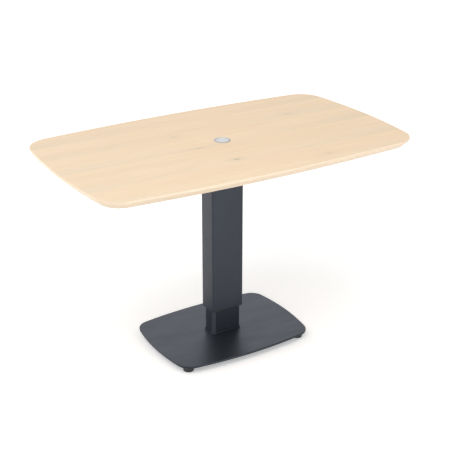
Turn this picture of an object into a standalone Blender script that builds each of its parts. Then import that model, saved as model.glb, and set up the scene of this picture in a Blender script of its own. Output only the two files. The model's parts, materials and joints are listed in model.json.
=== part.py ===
"""A pedestal table whose top rides on a telescopic column that a lockable gas spring holds.

The floor is at Z = 0, the long sides of the top run along X, and the column stands on the Z axis.
The table is part way up: LIFT_DOWN and LIFT_UP are the travel that is left either way.
All sizes are in metres.
"""

import math

import bmesh
import bpy
from mathutils import Matrix, Vector

# Clearances
SEAT_GAP = 0.0003  # between pieces that rest on, fit in or slide on each other
BUTTON_GAP = 0.0005  # round the release button

# Height and travel
TABLE_HEIGHT = 0.743  # floor to the upper face of the top
LIFT_DOWN = 0.058
LIFT_UP = 0.292
HEAD_ROOM = 0.008  # left above the inner column when the lift is right down
INNER_SHOWING = 0.0854  # of the inner column, between its flange and the mouth of the outer one

# Table top
TOP_LENGTH = 1.200
TOP_DEPTH = 0.700
TOP_THICKNESS = 0.028
TOP_LONG_BOW = 0.029
TOP_SHORT_BOW = 0.027
TOP_CORNER = 0.090
TOP_EDGE = 0.002  # rounding of the upper rim
TOP_BEVEL = 0.020  # of the lower rim, under an upright edge

# Base plate
BASE_LENGTH = 0.550
BASE_DEPTH = 0.400
BASE_THICKNESS = 0.008
BASE_BOW = 0.021
BASE_CORNER = 0.053
BASE_EDGE = 0.0012
BASE_SKIN = 0.002  # left above the blind holes for the feet

# Levelling feet
FOOT_X = 0.225
FOOT_Y = 0.148
PAD_RADIUS = 0.0188
PAD_WALL = 0.005
PAD_SEAT = 0.012  # level of the recess that holds the stud's collar and the nut
PAD_FLOOR = 0.004
PAD_CHAMFER = 0.0015
STUD_RADIUS = 0.004
STUD_END_GAP = 0.0005
COLLAR_RADIUS = 0.0075
COLLAR_HEIGHT = 0.0034
FOOT_NUT_FLATS = 0.015
FOOT_NUT_HEIGHT = 0.0057

# Inner column with its flange and screws
INNER_LENGTH = 0.1125
INNER_DEPTH = 0.060
INNER_CORNER = 0.010
INNER_WALL = 0.0025
FLANGE_MARGIN = 0.0033  # how far the flange stands out round the inner column
FLANGE_THICKNESS = 0.007
FLANGE_SCREW_X = 0.038
FLANGE_SCREW_Y = 0.014
FLANGE_SCREW_RADIUS = 0.004
FLANGE_SCREW_HEAD = 0.0078
FLANGE_SCREW_SINK = 0.0004
FLANGE_SCREW_SOCKET = 0.0025
FLANGE_SCREW_HEX = 0.005

# Outer column and its head
OUTER_LENGTH = 0.1235
OUTER_DEPTH = 0.074
OUTER_CORNER = 0.004
OUTER_WALL = 0.0025
HEAD_LENGTH = 0.230
HEAD_DEPTH = 0.210
HEAD_CORNER = 0.015
HEAD_THICKNESS = 0.006

# Glide bushes
LOWER_BUSH_HEIGHT = 0.050
LOWER_BUSH_RIM = 0.002
UPPER_BUSH_HEIGHT = 0.050
UPPER_BUSH_CAP = 0.003
UPPER_BUSH_HOLD = 0.004  # how far the cap reaches in over the inner column's end

# Support rails
RAIL_LENGTH = 0.800
RAIL_WIDTH = 0.040
RAIL_HEIGHT = 0.030
RAIL_WALL = 0.002
RAIL_CORNER = 0.003
RAIL_SPACING = 0.150
RAIL_CAP = 0.0025
RAIL_PLUG = 0.012
TOP_SCREW_NEAR = 0.200
TOP_SCREW_FAR = 0.360
TOP_SCREW_RADIUS = 0.0025
TOP_SCREW_HEAD = 0.005
TOP_SCREW_HEAD_HEIGHT = 0.003
TOP_SCREW_FACE = 0.004
TOP_SCREW_BITE = 0.015
TOP_SCREW_POINT = 0.004
TOP_SCREW_HEX = 0.004
TOP_SCREW_SOCKET = 0.0018

# Gas spring
CYLINDER_RADIUS = 0.014
CYLINDER_WALL = 0.002
CYLINDER_END = 0.008
CYLINDER_STUD_RADIUS = 0.005
CYLINDER_NUT_FLATS = 0.017
CYLINDER_NUT_HEIGHT = 0.005
CYLINDER_STUD_END = 0.0007
NUT_POCKET_MARGIN = 0.0025
PISTON_HEIGHT = 0.014
PISTON_SOCKET = 0.006
PISTON_GROOVE = 0.0012
PISTON_SPARE = 0.003  # left at either end of the stroke
GUIDE_DEPTH = 0.020
GUIDE_RIM = 0.002
ROD_RADIUS = 0.005
ROD_NUT_FLATS = 0.017
ROD_NUT_HEIGHT = 0.006
ROD_END = 0.0023
PIN_RADIUS = 0.0015
PIN_LENGTH = 0.039
PIN_SPARE = 0.001

# Release button
BUTTON_RADIUS = 0.0222
BUTTON_TRAVEL = 0.004
BUTTON_SUNK = 0.0002  # how far the cap's rim lies below the bezel's upper face
BUTTON_CROWN = 0.0005
BUTTON_WEB = 0.0025
BUTTON_WALL = 0.002
BUTTON_SKIRT = 0.012
BUTTON_EDGE = 0.0005
BOSS_RADIUS = 0.007
BOSS_LENGTH = 0.010
BOSS_SOCKET = 0.009
NECK_RADIUS = 0.004
PLUNGER_RADIUS = 0.006
BEZEL_RADIUS = 0.0286
BEZEL_FLANGE = 0.0010
BEZEL_EDGE = 0.0004
SLEEVE_WALL = 0.0022
LIP_THICKNESS = 0.003
SLEEVE_END = 0.002
RING_NUT_WIDTH = 0.0055
RING_NUT_HEIGHT = 0.006
RING_NUT_NOTCHES = 6
RING_NUT_NOTCH = 0.0025
RING_NUT_LAND = 0.75  # share of its rim between the notches
CLIP_RADIUS = 0.009
CLIP_THICKNESS = 0.0012
CLIP_GROOVE = 0.0013
CLIP_MOUTH = math.radians(70)
SPRING_RADIUS = 0.0135
SPRING_WIRE = 0.0016
SPRING_CURLS = 5

# Fineness
ARC_STEPS = 6
CORNER_STEPS = 8
TOP_EDGE_STEPS = 2
BASE_EDGE_STEPS = 2
TUBE_CORNER_STEPS = 5
NOTCH_STEPS = 2
BIG_ROUND = 36
MIDDLE_ROUND = 20
SMALL_ROUND = 12
CURL_POINTS = 10
WELD = 1e-6
FLAT_ANGLE = math.radians(0.1)
EDGE_ANGLE = math.radians(45)
CUT_MARGIN = 0.002  # how far a cutter runs past the face that it opens

# Levels, from the floor up
COLLAR_LOW = PAD_SEAT + SEAT_GAP
COLLAR_HIGH = COLLAR_LOW + COLLAR_HEIGHT
FOOT_NUT_LOW = COLLAR_HIGH + SEAT_GAP
FOOT_NUT_HIGH = FOOT_NUT_LOW + FOOT_NUT_HEIGHT
BASE_LOW = FOOT_NUT_HIGH + SEAT_GAP
BASE_HIGH = BASE_LOW + BASE_THICKNESS
FLANGE_LOW = BASE_HIGH + SEAT_GAP
FLANGE_HIGH = FLANGE_LOW + FLANGE_THICKNESS
INNER_LOW = FLANGE_HIGH + SEAT_GAP
MOUTH_LOW = FLANGE_HIGH + INNER_SHOWING
OUTER_LOW = MOUTH_LOW + LOWER_BUSH_RIM + SEAT_GAP

# Levels, from the table top down
TOP_LOW = TABLE_HEIGHT - TOP_THICKNESS
RAIL_HIGH = TOP_LOW - SEAT_GAP
RAIL_LOW = RAIL_HIGH - RAIL_HEIGHT
HEAD_HIGH = RAIL_LOW - SEAT_GAP
HEAD_LOW = HEAD_HIGH - HEAD_THICKNESS
OUTER_HIGH = HEAD_LOW - SEAT_GAP
BUSH_HIGH = HEAD_LOW - LIFT_DOWN - HEAD_ROOM
INNER_HIGH = BUSH_HIGH - UPPER_BUSH_CAP - SEAT_GAP

# Levels of the gas spring
CYLINDER_LOW = FLANGE_HIGH + SEAT_GAP
CYLINDER_FLOOR = CYLINDER_LOW + CYLINDER_END
PISTON_LOW = CYLINDER_FLOOR + PISTON_SPARE + LIFT_DOWN
PISTON_HIGH = PISTON_LOW + PISTON_HEIGHT
GUIDE_LOW = PISTON_HIGH + LIFT_UP + PISTON_SPARE
CYLINDER_HIGH = GUIDE_LOW + GUIDE_DEPTH
ROD_LOW = PISTON_HIGH - PISTON_SOCKET + SEAT_GAP
ROD_NUT_LOW = HEAD_HIGH + SEAT_GAP
ROD_HIGH = ROD_NUT_LOW + ROD_NUT_HEIGHT + ROD_END
PIN_HIGH = ROD_HIGH + BUTTON_TRAVEL + PIN_SPARE
PIN_LOW = PIN_HIGH - PIN_LENGTH
PIN_BORE_LOW = PIN_LOW - BUTTON_TRAVEL - PIN_SPARE

# Levels of the release button
PLUNGER_LOW = PIN_HIGH + SEAT_GAP
RING_NUT_HIGH = TOP_LOW - SEAT_GAP
RING_NUT_LOW = RING_NUT_HIGH - RING_NUT_HEIGHT
BEZEL_LOW = RING_NUT_LOW - SLEEVE_END
LIP_HIGH = BEZEL_LOW + LIP_THICKNESS
BEZEL_SEAT = TABLE_HEIGHT + SEAT_GAP
BEZEL_HIGH = BEZEL_SEAT + BEZEL_FLANGE
CLIP_HIGH = BEZEL_LOW - SEAT_GAP
CLIP_LOW = CLIP_HIGH - CLIP_THICKNESS
BUTTON_HIGH = BEZEL_HIGH - BUTTON_SUNK
WEB_LOW = BUTTON_HIGH - BUTTON_WEB
BOSS_LOW = WEB_LOW - BOSS_LENGTH

# Fits that more than one piece takes
BUTTON_BORE = BUTTON_RADIUS + BUTTON_GAP
SLEEVE_RADIUS = BUTTON_BORE + SLEEVE_WALL
BUSH_OUT_LENGTH = OUTER_LENGTH - 2 * (OUTER_WALL + SEAT_GAP)
BUSH_OUT_DEPTH = OUTER_DEPTH - 2 * (OUTER_WALL + SEAT_GAP)
BUSH_OUT_CORNER = max(OUTER_CORNER - OUTER_WALL, SEAT_GAP)
BUSH_IN_LENGTH = INNER_LENGTH + 2 * SEAT_GAP
BUSH_IN_DEPTH = INNER_DEPTH + 2 * SEAT_GAP
BUSH_IN_CORNER = INNER_CORNER + SEAT_GAP
FLANGE_SCREW_PLACES = (
    (-FLANGE_SCREW_X, -FLANGE_SCREW_Y),
    (FLANGE_SCREW_X, -FLANGE_SCREW_Y),
    (-FLANGE_SCREW_X, FLANGE_SCREW_Y),
    (FLANGE_SCREW_X, FLANGE_SCREW_Y),
)
TOP_SCREW_XS = (-TOP_SCREW_FAR, -TOP_SCREW_NEAR, TOP_SCREW_NEAR, TOP_SCREW_FAR)
RAIL_SIDES = (("front", -RAIL_SPACING / 2), ("rear", RAIL_SPACING / 2))
FOOT_CORNERS = (
    ("front_left", -FOOT_X, -FOOT_Y),
    ("front_right", FOOT_X, -FOOT_Y),
    ("rear_left", -FOOT_X, FOOT_Y),
    ("rear_right", FOOT_X, FOOT_Y),
)


def empty_scene():
    """Removes whatever the scene holds."""
    for old in list(bpy.data.objects):
        bpy.data.objects.remove(old)


def new_collection(name):
    collection = bpy.data.collections.new(name)
    bpy.context.scene.collection.children.link(collection)
    return collection


def finish(name, colour, roughness, metallic=0.0):
    """A material with one colour, in linear light."""
    material = bpy.data.materials.new(name)
    material.use_nodes = True
    shader = material.node_tree.nodes["Principled BSDF"]
    shader.inputs["Base Color"].default_value = (*colour, 1)
    shader.inputs["Roughness"].default_value = roughness
    shader.inputs["Metallic"].default_value = metallic
    return material


def frame(name, place=(0, 0, 0), parent=None):
    """An empty on a joint's axis that carries the pieces of one moving group."""
    axis = bpy.data.objects.new(name, None)
    axis.location = place
    axis.parent = parent
    PIECES.objects.link(axis)
    return axis


def add_piece(name, data, material, carrier, place=(0, 0, 0)):
    """One named piece, placed in its carrier's coordinates."""
    piece = bpy.data.objects.new(name, data)
    piece.parent = carrier
    piece.location = place
    if not data.materials:
        data.materials.append(material)
    PIECES.objects.link(piece)
    return piece


def as_cutter(piece):
    """Turns a piece into a shape that only cuts or joins others."""
    PIECES.objects.unlink(piece)
    CUTTERS.objects.link(piece)
    piece.hide_render = True
    piece.display_type = "WIRE"
    return piece


def combine(piece, other, operation):
    boolean = piece.modifiers.new(operation.title(), "BOOLEAN")
    boolean.operation = operation
    boolean.object = other


def cut(piece, *cutters):
    for cutter in cutters:
        combine(piece, as_cutter(cutter), "DIFFERENCE")


def join(piece, *others):
    for other in others:
        combine(piece, as_cutter(other), "UNION")


def round_edges(piece, width, segments):
    """Rounds the edges between a piece's flat faces and its sides."""
    bevel = piece.modifiers.new("Edges", "BEVEL")
    bevel.limit_method = "ANGLE"
    bevel.angle_limit = EDGE_ANGLE
    bevel.width = width
    bevel.segments = segments


def ease_rim(piece, side, width, segments):
    """Rounds or bevels the rim on the upper (1) or the lower (-1) side of a flat piece."""
    rim = piece.vertex_groups.new(name=f"rim_{side}")
    rim.add([vertex.index for vertex in piece.data.vertices if vertex.co.z * side > 0], 1, "REPLACE")
    bevel = piece.modifiers.new("Rim", "BEVEL")
    bevel.limit_method = "VGROUP"
    bevel.vertex_group = rim.name
    bevel.width = width
    bevel.segments = segments


def evaluated_mesh(piece):
    bpy.context.view_layer.update()
    graph = bpy.context.evaluated_depsgraph_get()
    return bpy.data.meshes.new_from_object(piece.evaluated_get(graph))


def as_mesh(piece):
    """The same piece as a mesh, with its caps welded on and each flat side made one face."""
    mesh = evaluated_mesh(piece)
    builder = bmesh.new()
    builder.from_mesh(mesh)
    bmesh.ops.remove_doubles(builder, verts=builder.verts, dist=WELD)
    bmesh.ops.dissolve_limit(builder, angle_limit=FLAT_ANGLE, verts=builder.verts, edges=builder.edges)
    builder.to_mesh(mesh)
    builder.free()
    name = piece.name
    world = piece.matrix_world.copy()
    carrier = piece.parent
    bpy.data.objects.remove(piece)
    solid = add_piece(name, mesh, None, carrier)
    solid.matrix_world = world
    return solid


def copies(pattern, names_and_places):
    """Replaces a finished pattern piece by copies that share its mesh."""
    mesh = evaluated_mesh(pattern)
    helpers = [step.object for step in pattern.modifiers if step.type == "BOOLEAN"]
    for helper in [pattern, *helpers]:
        bpy.data.objects.remove(helper)
    for name, carrier, place in names_and_places:
        add_piece(name, mesh, None, carrier, place)


def arc(centre, radius, start, end, steps):
    """Points along an arc, both ends included, with angles in radians."""
    angles = [start + (end - start) * step / steps for step in range(steps + 1)]
    return [(centre[0] + radius * math.cos(a), centre[1] + radius * math.sin(a)) for a in angles]


def circle(radius, steps, centre=(0, 0)):
    return arc(centre, radius, 0, 2 * math.pi, steps)[:-1]


def hexagon(across_flats):
    return circle(across_flats / math.sqrt(3), 6)


def rounded_rectangle(length, depth, corner):
    points = []
    for index, (side_x, side_y) in enumerate(((1, 1), (-1, 1), (-1, -1), (1, -1))):
        centre = (side_x * (length / 2 - corner), side_y * (depth / 2 - corner))
        start = index * math.pi / 2
        points += arc(centre, corner, start, start + math.pi / 2, TUBE_CORNER_STEPS)
    return points


def bowed_rectangle(length, depth, long_bow, short_bow, corner):
    """A rectangle whose four sides are outward arcs, with each corner rounded by an arc that meets both."""
    half_length = length / 2
    half_depth = depth / 2
    long_radius = ((half_length - short_bow) ** 2 + long_bow**2) / (2 * long_bow)
    short_radius = ((half_depth - long_bow) ** 2 + short_bow**2) / (2 * short_bow)
    long_centre = Vector((0, half_depth - long_radius))
    short_centre = Vector((half_length - short_radius, 0))
    # The corner's centre lies where the two side arcs, drawn in by the corner radius, cross.
    between = short_centre - long_centre
    distance = between.length
    reach = long_radius - corner
    along = (reach**2 - (short_radius - corner) ** 2 + distance**2) / (2 * distance)
    aside = math.sqrt(reach**2 - along**2)
    unit = between / distance
    corner_centre = long_centre + unit * along + Vector((unit.y, -unit.x)) * aside
    long_end = math.atan2(corner_centre.y - long_centre.y, corner_centre.x - long_centre.x)
    short_end = math.atan2(corner_centre.y - short_centre.y, corner_centre.x - short_centre.x)
    quarter = arc(short_centre, short_radius, 0, short_end, ARC_STEPS)
    quarter += arc(corner_centre, corner, short_end, long_end, CORNER_STEPS)[1:]
    quarter += arc(long_centre, long_radius, long_end, math.pi / 2, ARC_STEPS)[1:]
    half = quarter + [(-x, y) for x, y in reversed(quarter[:-1])]
    return half + [(x, -y) for x, y in reversed(half[1:-1])]


def plate(name, outlines, low, high, material, carrier):
    """A flat outline, less the outlines inside it, between two levels of its carrier."""
    curve = bpy.data.curves.new(name, "CURVE")
    curve.dimensions = "2D"
    curve.fill_mode = "BOTH"
    curve.extrude = (high - low) / 2
    for outline in outlines:
        spline = curve.splines.new("POLY")
        spline.points.add(len(outline) - 1)
        for point, (x, y) in zip(spline.points, outline):
            point.co = (x, y, 0, 1)
        spline.use_cyclic_u = True
    return add_piece(name, curve, material, carrier, (0, 0, (low + high) / 2))


def block(name, outline, low, high, material=None, carrier=None):
    """A plate with no holes, as a mesh."""
    return as_mesh(plate(name, [outline], low, high, material, carrier))


def turned(name, profile, steps, material=None, carrier=None, ring=False):
    """A profile of (radius, level) points, down its outer side, turned about Z. A ring's profile closes."""
    mesh = bpy.data.meshes.new(name)
    builder = bmesh.new()
    points = [builder.verts.new((radius, 0, level)) for radius, level in profile]
    ends = points[1:] + points[:1] if ring else points[1:]
    for first, second in zip(points, ends):
        builder.edges.new((first, second))
    builder.to_mesh(mesh)
    builder.free()
    piece = add_piece(name, mesh, material, carrier)
    screw = piece.modifiers.new("Turn", "SCREW")
    screw.steps = steps
    screw.render_steps = steps
    screw.use_merge_vertices = True
    screw.merge_threshold = WELD
    return piece


def rod_cutters(name, radius, places, low, high):
    """Round cutters of one size, standing at several places."""
    profile = [(0, high), (radius, high), (radius, low), (0, low)]
    cutters = []
    for index, place in enumerate(places):
        cutter = turned(f"{name}_{index}", profile, SMALL_ROUND)
        cutter.location = (*place, 0)
        cutters.append(cutter)
    return cutters


def make_table_top():
    outline = bowed_rectangle(TOP_LENGTH, TOP_DEPTH, TOP_LONG_BOW, TOP_SHORT_BOW, TOP_CORNER)
    top = block("table_top", outline, TOP_LOW, TABLE_HEIGHT, WOOD, LIFT)
    ease_rim(top, 1, TOP_EDGE, TOP_EDGE_STEPS)
    ease_rim(top, -1, TOP_BEVEL, 1)
    hole = SLEEVE_RADIUS + SEAT_GAP
    above = TABLE_HEIGHT + CUT_MARGIN
    below = TOP_LOW - CUT_MARGIN
    cut(top, turned("button_hole", [(0, above), (hole, above), (hole, below), (0, below)], BIG_ROUND))
    places = [(x, y) for _, y in RAIL_SIDES for x in TOP_SCREW_XS]
    pilot = TOP_SCREW_RADIUS + SEAT_GAP
    cut(top, *rod_cutters("pilot_hole", pilot, places, below, TOP_LOW + TOP_SCREW_BITE + SEAT_GAP))


def flange_screw_profile(gap, low):
    """A countersunk screw's outline from its tip down to its head, grown by a gap."""
    shank = FLANGE_SCREW_RADIUS + gap
    head = FLANGE_SCREW_HEAD + gap
    cone_low = BASE_LOW + FLANGE_SCREW_SINK
    cone_high = cone_low + FLANGE_SCREW_HEAD - FLANGE_SCREW_RADIUS
    tip = FLANGE_HIGH - SEAT_GAP
    return [(0, tip), (shank, tip), (shank, cone_high), (head, cone_low), (head, low), (0, low)]


def make_base():
    outline = bowed_rectangle(BASE_LENGTH, BASE_DEPTH, BASE_BOW, BASE_BOW, BASE_CORNER)
    base = block("base_plate", outline, BASE_LOW, BASE_HIGH, COATED_STEEL, BASE)
    round_edges(base, BASE_EDGE, BASE_EDGE_STEPS)
    below = BASE_LOW - CUT_MARGIN
    pocket = CYLINDER_NUT_FLATS / math.sqrt(3) + NUT_POCKET_MARGIN
    above = BASE_HIGH + CUT_MARGIN
    cut(base, turned("nut_pocket", [(0, above), (pocket, above), (pocket, below), (0, below)], MIDDLE_ROUND))
    foot_places = [(x, y) for _, x, y in FOOT_CORNERS]
    cut(base, *rod_cutters("foot_hole", STUD_RADIUS + SEAT_GAP, foot_places, below, BASE_HIGH - BASE_SKIN))
    for index, place in enumerate(FLANGE_SCREW_PLACES):
        countersink = turned(f"countersink_{index}", flange_screw_profile(SEAT_GAP, below), SMALL_ROUND)
        countersink.location = (*place, 0)
        cut(base, countersink)


def make_feet():
    """Four cup-shaped pads, each on a stud that screws into a nut under the base plate."""
    socket = STUD_RADIUS + SEAT_GAP
    recess = PAD_RADIUS - PAD_WALL
    rim = BASE_LOW - SEAT_GAP
    pad = [(0, PAD_FLOOR), (socket, PAD_FLOOR), (socket, PAD_SEAT), (recess, PAD_SEAT), (recess, rim)]
    pad += [(PAD_RADIUS, rim), (PAD_RADIUS, PAD_CHAMFER), (PAD_RADIUS - PAD_CHAMFER, 0), (0, 0)]
    tip = BASE_HIGH - BASE_SKIN - STUD_END_GAP
    low = PAD_FLOOR + SEAT_GAP
    stud = [(0, tip), (STUD_RADIUS, tip), (STUD_RADIUS, COLLAR_HIGH), (COLLAR_RADIUS, COLLAR_HIGH)]
    stud += [(COLLAR_RADIUS, COLLAR_LOW), (STUD_RADIUS, COLLAR_LOW), (STUD_RADIUS, low), (0, low)]
    nut_outlines = [hexagon(FOOT_NUT_FLATS), circle(socket, SMALL_ROUND)]
    for corner, x, y in FOOT_CORNERS:
        axis = frame(f"foot_axis_{corner}", (x, y, 0))
        turned(f"foot_pad_{corner}", pad, MIDDLE_ROUND, BLACK_PLASTIC, axis)
        turned(f"foot_stud_{corner}", stud, SMALL_ROUND, ZINC, axis)
        nut = plate(f"foot_nut_{corner}", nut_outlines, FOOT_NUT_LOW, FOOT_NUT_HIGH, ZINC, BASE)
        nut.location.xy = (x, y)


def make_inner_column():
    """The fixed tube, its flange and the screws that hold the flange down."""
    length = INNER_LENGTH + 2 * FLANGE_MARGIN
    depth = INNER_DEPTH + 2 * FLANGE_MARGIN
    outlines = [rounded_rectangle(length, depth, INNER_CORNER + FLANGE_MARGIN)]
    outlines.append(circle(CYLINDER_STUD_RADIUS + SEAT_GAP, SMALL_ROUND))
    for place in FLANGE_SCREW_PLACES:
        outlines.append(circle(FLANGE_SCREW_RADIUS + SEAT_GAP, SMALL_ROUND, place))
    plate("column_flange", outlines, FLANGE_LOW, FLANGE_HIGH, COATED_STEEL, BASE)
    bore_length = INNER_LENGTH - 2 * INNER_WALL
    bore_depth = INNER_DEPTH - 2 * INNER_WALL
    bore = rounded_rectangle(bore_length, bore_depth, max(INNER_CORNER - INNER_WALL, SEAT_GAP))
    tube = rounded_rectangle(INNER_LENGTH, INNER_DEPTH, INNER_CORNER)
    plate("inner_column", [tube, bore], INNER_LOW, INNER_HIGH, COATED_STEEL, BASE)
    low = BASE_LOW + FLANGE_SCREW_SINK / 2
    screw = turned("flange_screw", flange_screw_profile(0, low), SMALL_ROUND, ZINC, BASE)
    key = hexagon(FLANGE_SCREW_HEX)
    cut(screw, block("flange_screw_key", key, low - CUT_MARGIN, low + FLANGE_SCREW_SOCKET))
    places = enumerate(FLANGE_SCREW_PLACES, 1)
    copies(screw, [(f"flange_screw_{number}", BASE, (*place, 0)) for number, place in places])


def make_outer_column():
    bore_length = OUTER_LENGTH - 2 * OUTER_WALL
    bore_depth = OUTER_DEPTH - 2 * OUTER_WALL
    bore = rounded_rectangle(bore_length, bore_depth, BUSH_OUT_CORNER)
    tube = rounded_rectangle(OUTER_LENGTH, OUTER_DEPTH, OUTER_CORNER)
    plate("outer_column", [tube, bore], OUTER_LOW, OUTER_HIGH, COATED_STEEL, LIFT)
    head = rounded_rectangle(HEAD_LENGTH, HEAD_DEPTH, HEAD_CORNER)
    rod_hole = circle(ROD_RADIUS + SEAT_GAP, SMALL_ROUND)
    plate("head_plate", [head, rod_hole], HEAD_LOW, HEAD_HIGH, COATED_STEEL, LIFT)


def make_bushes():
    """The lower bush fills the outer column's mouth, and the upper one caps the inner column's end."""
    out = rounded_rectangle(BUSH_OUT_LENGTH, BUSH_OUT_DEPTH, BUSH_OUT_CORNER)
    into = rounded_rectangle(BUSH_IN_LENGTH, BUSH_IN_DEPTH, BUSH_IN_CORNER)
    rim_high = MOUTH_LOW + LOWER_BUSH_RIM
    bush_high = MOUTH_LOW + LOWER_BUSH_HEIGHT
    rim = rounded_rectangle(OUTER_LENGTH, OUTER_DEPTH, OUTER_CORNER)
    lower = block("lower_glide_bush", rim, MOUTH_LOW, rim_high, BLACK_PLASTIC, LIFT)
    join(lower, block("lower_bush_sleeve", out, MOUTH_LOW + LOWER_BUSH_RIM / 2, bush_high, None, LIFT))
    cut(lower, block("lower_bush_bore", into, MOUTH_LOW - CUT_MARGIN, bush_high + CUT_MARGIN))
    bush_low = BUSH_HIGH - UPPER_BUSH_HEIGHT
    upper = block("upper_glide_bush", out, bush_low, BUSH_HIGH, BLACK_PLASTIC, BASE)
    cut(upper, block("upper_bush_bore", into, bush_low - CUT_MARGIN, BUSH_HIGH - UPPER_BUSH_CAP))
    mouth_length = INNER_LENGTH - 2 * UPPER_BUSH_HOLD
    mouth_depth = INNER_DEPTH - 2 * UPPER_BUSH_HOLD
    mouth = rounded_rectangle(mouth_length, mouth_depth, max(INNER_CORNER - UPPER_BUSH_HOLD, SEAT_GAP))
    cut(upper, block("upper_bush_mouth", mouth, bush_low - CUT_MARGIN, BUSH_HIGH + CUT_MARGIN))


def make_rails():
    """Two box rails under the top, each with end caps and wood screws."""
    along_x = Matrix.Rotation(math.pi / 2, 4, "Z") @ Matrix.Rotation(math.pi / 2, 4, "X")
    section = rounded_rectangle(RAIL_WIDTH, RAIL_HEIGHT, RAIL_CORNER)
    bore_width = RAIL_WIDTH - 2 * RAIL_WALL
    bore_height = RAIL_HEIGHT - 2 * RAIL_WALL
    bore_corner = max(RAIL_CORNER - RAIL_WALL, SEAT_GAP)
    bore = rounded_rectangle(bore_width, bore_height, bore_corner)
    plug = rounded_rectangle(bore_width - 2 * SEAT_GAP, bore_height - 2 * SEAT_GAP, bore_corner)
    middle = (RAIL_LOW + RAIL_HIGH) / 2
    half = RAIL_LENGTH / 2
    cap_low = half + SEAT_GAP
    cap_high = cap_low + RAIL_CAP
    hole = TOP_SCREW_RADIUS + SEAT_GAP
    for side, y in RAIL_SIDES:
        tube = plate(f"support_rail_{side}", [section, bore], -half, half, COATED_STEEL, LIFT)
        tube.matrix_world = Matrix.Translation((0, y, middle)) @ along_x
        rail = as_mesh(tube)
        places = [(x, y) for x in TOP_SCREW_XS]
        below = RAIL_LOW - CUT_MARGIN
        above = RAIL_HIGH + CUT_MARGIN
        cut(rail, *rod_cutters(f"rail_hole_{side}", hole, places, below, above))
        for end, turn in (("right", 0), ("left", math.pi)):
            cap = block(f"rail_cap_{side}_{end}", section, cap_low, cap_high, BLACK_PLASTIC, LIFT)
            plug_high = (cap_low + cap_high) / 2
            stub = block(f"rail_plug_{side}_{end}", plug, cap_low - RAIL_PLUG, plug_high, None, LIFT)
            pose = Matrix.Translation((0, y, middle)) @ Matrix.Rotation(turn, 4, "Z") @ along_x
            for shape in (cap, stub):
                shape.matrix_world = pose @ shape.matrix_world
            join(cap, stub)


def make_top_screws():
    """Wood screws up through the rails, heads below."""
    head_high = RAIL_LOW - SEAT_GAP
    head_low = head_high - TOP_SCREW_HEAD_HEIGHT
    tip = TOP_LOW + TOP_SCREW_BITE
    shank = TOP_SCREW_RADIUS
    profile = [(0, tip), (shank, tip - TOP_SCREW_POINT), (shank, head_high), (TOP_SCREW_HEAD, head_high)]
    profile += [(TOP_SCREW_HEAD, (head_high + head_low) / 2), (TOP_SCREW_FACE, head_low), (0, head_low)]
    screw = turned("top_screw", profile, SMALL_ROUND, ZINC, LIFT)
    key = block("top_screw_key", hexagon(TOP_SCREW_HEX), head_low - CUT_MARGIN, head_low + TOP_SCREW_SOCKET)
    cut(screw, key)
    places = [(x, y, 0) for _, y in RAIL_SIDES for x in TOP_SCREW_XS]
    copies(screw, [(f"top_screw_{n + 1}", LIFT, place) for n, place in enumerate(places)])


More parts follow.
